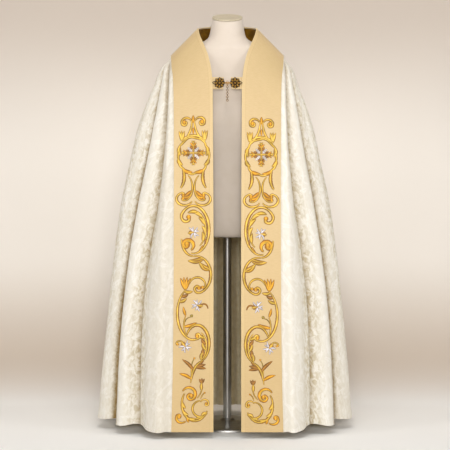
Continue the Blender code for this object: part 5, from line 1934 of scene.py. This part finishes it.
# ---- Making the dress form ----
def make_form(colours):
    """The jersey-covered torso, its flat cap, the pole and the foot."""
    torso = copy_of("form_torso", "form_cover")
    edit_all()
    bpy.ops.mesh.tris_convert_to_quads()
    bpy.ops.mesh.select_all(action="DESELECT")
    bpy.ops.mesh.select_mode(type="EDGE")
    bpy.ops.mesh.edges_select_sharp(sharpness=math.radians(FORM_CORNERS))
    bpy.ops.transform.edge_crease(value=FORM_CRISPNESS)
    bpy.ops.mesh.select_mode(type="VERT")
    end_edit()
    rounding = torso.modifiers.new("Rounded", "SUBSURF")
    rounding.levels = 2
    rounding.render_levels = 2
    apply_all(torso)
    torso.data.materials.append(jersey_finish(colours))
    smooth(torso, 50)
    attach(torso, CLOTH_BODY)
    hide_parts("form_torso")

    cap = turned("neck_cap", CAP_STEPS, 96, cap_finish(colours))
    cap.matrix_world = lie_of_cap()
    apply_all(cap)
    smooth(cap, 50)
    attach(cap, CLOTH_BODY)
    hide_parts("form_neck_cap")

    steel = steel_finish(colours)
    low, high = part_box("form_pole")
    side = ((POLE_RADIUS, low.z + POLE_EDGE), (POLE_RADIUS, high.z - POLE_EDGE))
    pole = turned("pole", ((POLE_END, low.z), *side, (POLE_END, high.z)), 64, steel)
    foot = turned("foot", FOOT_STEPS, 128, steel)
    for piece, node in ((pole, "form_pole"), (foot, "form_foot")):
        smooth(piece, 35)
        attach(piece, CLOTH_BODY)
        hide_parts(node)


def lie_of_cap():
    """The frame of the neck's tilted cap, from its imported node."""
    points, middle, square = flat_node("form_neck_cap")
    out = square * np.sign(square[2])
    tilt = math.atan2(-out[1], out[2])
    depth = ((points - middle) @ out).min()
    return Matrix.Translation(Vector(middle + out * depth)) @ Matrix.Rotation(tilt, 4, "X")


# ---- The stage ----
def make_stage(colours):
    """A plain pale floor that runs up into a wall, with painted shade at the bend and high on the wall, soft
    lights and the camera.
    """
    scene = bpy.context.scene
    profile = [(FLOOR_FRONT, 0.0)]
    for turn in np.linspace(0, math.pi / 2, BEND_POINTS):
        bent = (STAGE_BEND * math.sin(turn), STAGE_BEND * math.cos(turn))
        profile.append((WALL_Y - STAGE_BEND + bent[0], STAGE_BEND - bent[1]))
    profile.append((WALL_Y, STAGE_HEIGHT))
    points, faces = [], []
    for y, z in profile:
        points += [(-STAGE_HALF, y, z), (STAGE_HALF, y, z)]
    for i in range(len(profile) - 1):
        faces.append((2 * i, 2 * i + 1, 2 * i + 3, 2 * i + 2))
    shader = Shader("Stage", colours.floor, 0.85)
    parts = shader.add("SeparateXYZ", {0: shader.place()})
    # painted shade at the bend and high up on the wall
    tint = shader.mix(shader.between(parts.outputs[1], *FLOOR_TO_HORIZON), colours.floor, colours.horizon_shade)
    tint = shader.mix(shader.between(parts.outputs[2], *HORIZON_TO_WALL), tint, colours.wall)
    tint = shader.mix(shader.between(parts.outputs[2], *WALL_TO_TOP), tint, colours.wall_top_shade)
    shader.set(Base_Color=tint)
    # seen from behind, the backdrop doesn't hide the part
    unseen = shader.add("BsdfTransparent", {}).outputs[0]
    from_behind = shader.add("NewGeometry", {}).outputs["Backfacing"]
    one_sided = shader.add("MixShader", {0: from_behind, 1: shader.surface.outputs[0], 2: unseen})
    shader.tree.links.new(one_sided.outputs[0], shader.tree.nodes["Material Output"].inputs["Surface"])
    floor = object_of("stage_floor", np.array(points), faces, (shader.material,))

    camera_data = bpy.data.cameras.new("Camera")
    camera_data.lens = CAMERA_LENS
    camera_data.sensor_width = CAMERA_FRAME
    camera_data.clip_end = CAMERA_CLIP
    camera = bpy.data.objects.new("Camera", camera_data)
    scene.collection.objects.link(camera)
    camera.location = CAMERA_PLACE
    camera.rotation_euler = (Vector(CAMERA_AIM) - Vector(CAMERA_PLACE)).to_track_quat("-Z", "Y").to_euler()
    scene.camera = camera

    for lamp in LAMPS:
        data = bpy.data.lights.new(lamp.name, "AREA")
        data.shape = "DISK"
        data.size = lamp.size
        data.energy = lamp.power
        data.color = lamp.tint
        light = bpy.data.objects.new(lamp.name, data)
        light.location = lamp.place
        light.rotation_euler = (Vector(lamp.aim) - Vector(lamp.place)).to_track_quat("-Z", "Y").to_euler()
        scene.collection.objects.link(light)
    world = bpy.data.worlds.new("Soft room")
    world.use_nodes = True
    background = world.node_tree.nodes["Background"]
    background.inputs["Color"].default_value = ROOM_TINT
    background.inputs["Strength"].default_value = ROOM_LIGHT
    scene.world = world
    scene.view_settings.view_transform = "Standard"


# ---- Operators, one for each piece or group of like pieces ----
class COPE_OT_form(bpy.types.Operator):
    """Build the dress form with its cap, pole and foot"""

    bl_idname = "cope.form"
    bl_label = "Dress Form"
    bl_options = {"REGISTER", "UNDO"}

    def execute(self, context):
        make_form(context.scene.cope_colours)
        return {"FINISHED"}


class COPE_OT_body(bpy.types.Operator):
    """Build the three widths of the body cloth"""

    bl_idname = "cope.body"
    bl_label = "Body Cloth"
    bl_options = {"REGISTER", "UNDO"}

    def execute(self, context):
        make_body(context.scene.cope_sizes, context.scene.cope_colours)
        return {"FINISHED"}


class COPE_OT_bands(bpy.types.Operator):
    """Build the front bands, the collar, its facing and the edge cord"""

    bl_idname = "cope.bands"
    bl_label = "Bands and Collar"
    bl_options = {"REGISTER", "UNDO"}

    def execute(self, context):
        make_bands(context.scene.cope_sizes, context.scene.cope_colours)
        return {"FINISHED"}


class COPE_OT_embroidery(bpy.types.Operator):
    """Build the raised needlework on both bands"""

    bl_idname = "cope.embroidery"
    bl_label = "Embroidery"
    bl_options = {"REGISTER", "UNDO"}

    def execute(self, context):
        make_embroidery(context.scene.cope_sizes)
        return {"FINISHED"}


class COPE_OT_clasp(bpy.types.Operator):
    """Build the tabs, the rosettes and the hook"""

    bl_idname = "cope.clasp"
    bl_label = "Clasp"
    bl_options = {"REGISTER", "UNDO"}

    def execute(self, context):
        sizes, colours = context.scene.cope_sizes, context.scene.cope_colours
        make_tabs(colours)
        make_rosettes(sizes, colours)
        make_hook(sizes, colours)
        return {"FINISHED"}


class COPE_OT_chain(bpy.types.Operator):
    """Build the chain that hangs from the clasp"""

    bl_idname = "cope.chain"
    bl_label = "Chain"
    bl_options = {"REGISTER", "UNDO"}

    def execute(self, context):
        make_links(context.scene.cope_sizes, context.scene.cope_colours)
        return {"FINISHED"}


class COPE_OT_stage(bpy.types.Operator):
    """Build the floor, the lights and the camera"""

    bl_idname = "cope.stage"
    bl_label = "Stage"
    bl_options = {"REGISTER", "UNDO"}

    def execute(self, context):
        make_stage(context.scene.cope_colours)
        return {"FINISHED"}


OPERATORS = (
    COPE_OT_stage,
    COPE_OT_form,
    COPE_OT_body,
    COPE_OT_bands,
    COPE_OT_embroidery,
    COPE_OT_clasp,
    COPE_OT_chain,
)


class COPE_PT_panel(bpy.types.Panel):
    """Lists the cope's operators and settings"""

    bl_idname = "COPE_PT_panel"
    bl_label = "Cope"
    bl_space_type = "VIEW_3D"
    bl_region_type = "UI"
    bl_category = "Cope"

    def draw(self, context):
        for operator in OPERATORS:
            self.layout.operator(operator.bl_idname)
        for group in (context.scene.cope_sizes, context.scene.cope_colours):
            box = self.layout.box()
            for key in group.__annotations__:
                box.prop(group, key)


CLASSES = (CopeSizes, CopeColours, *OPERATORS, COPE_PT_panel)


def register():
    for kind in CLASSES:
        bpy.utils.register_class(kind)
    bpy.types.Scene.cope_sizes = PointerProperty(type=CopeSizes)
    bpy.types.Scene.cope_colours = PointerProperty(type=CopeColours)


def unregister():
    del bpy.types.Scene.cope_sizes
    del bpy.types.Scene.cope_colours
    for kind in reversed(CLASSES):
        bpy.utils.unregister_class(kind)


def main():
    register()
    bpy.ops.cope.stage()
    bpy.ops.cope.form()
    bpy.ops.cope.body()
    bpy.ops.cope.bands()
    bpy.ops.cope.embroidery()
    bpy.ops.cope.clasp()
    bpy.ops.cope.chain()


if __name__ == "__main__":
    main()
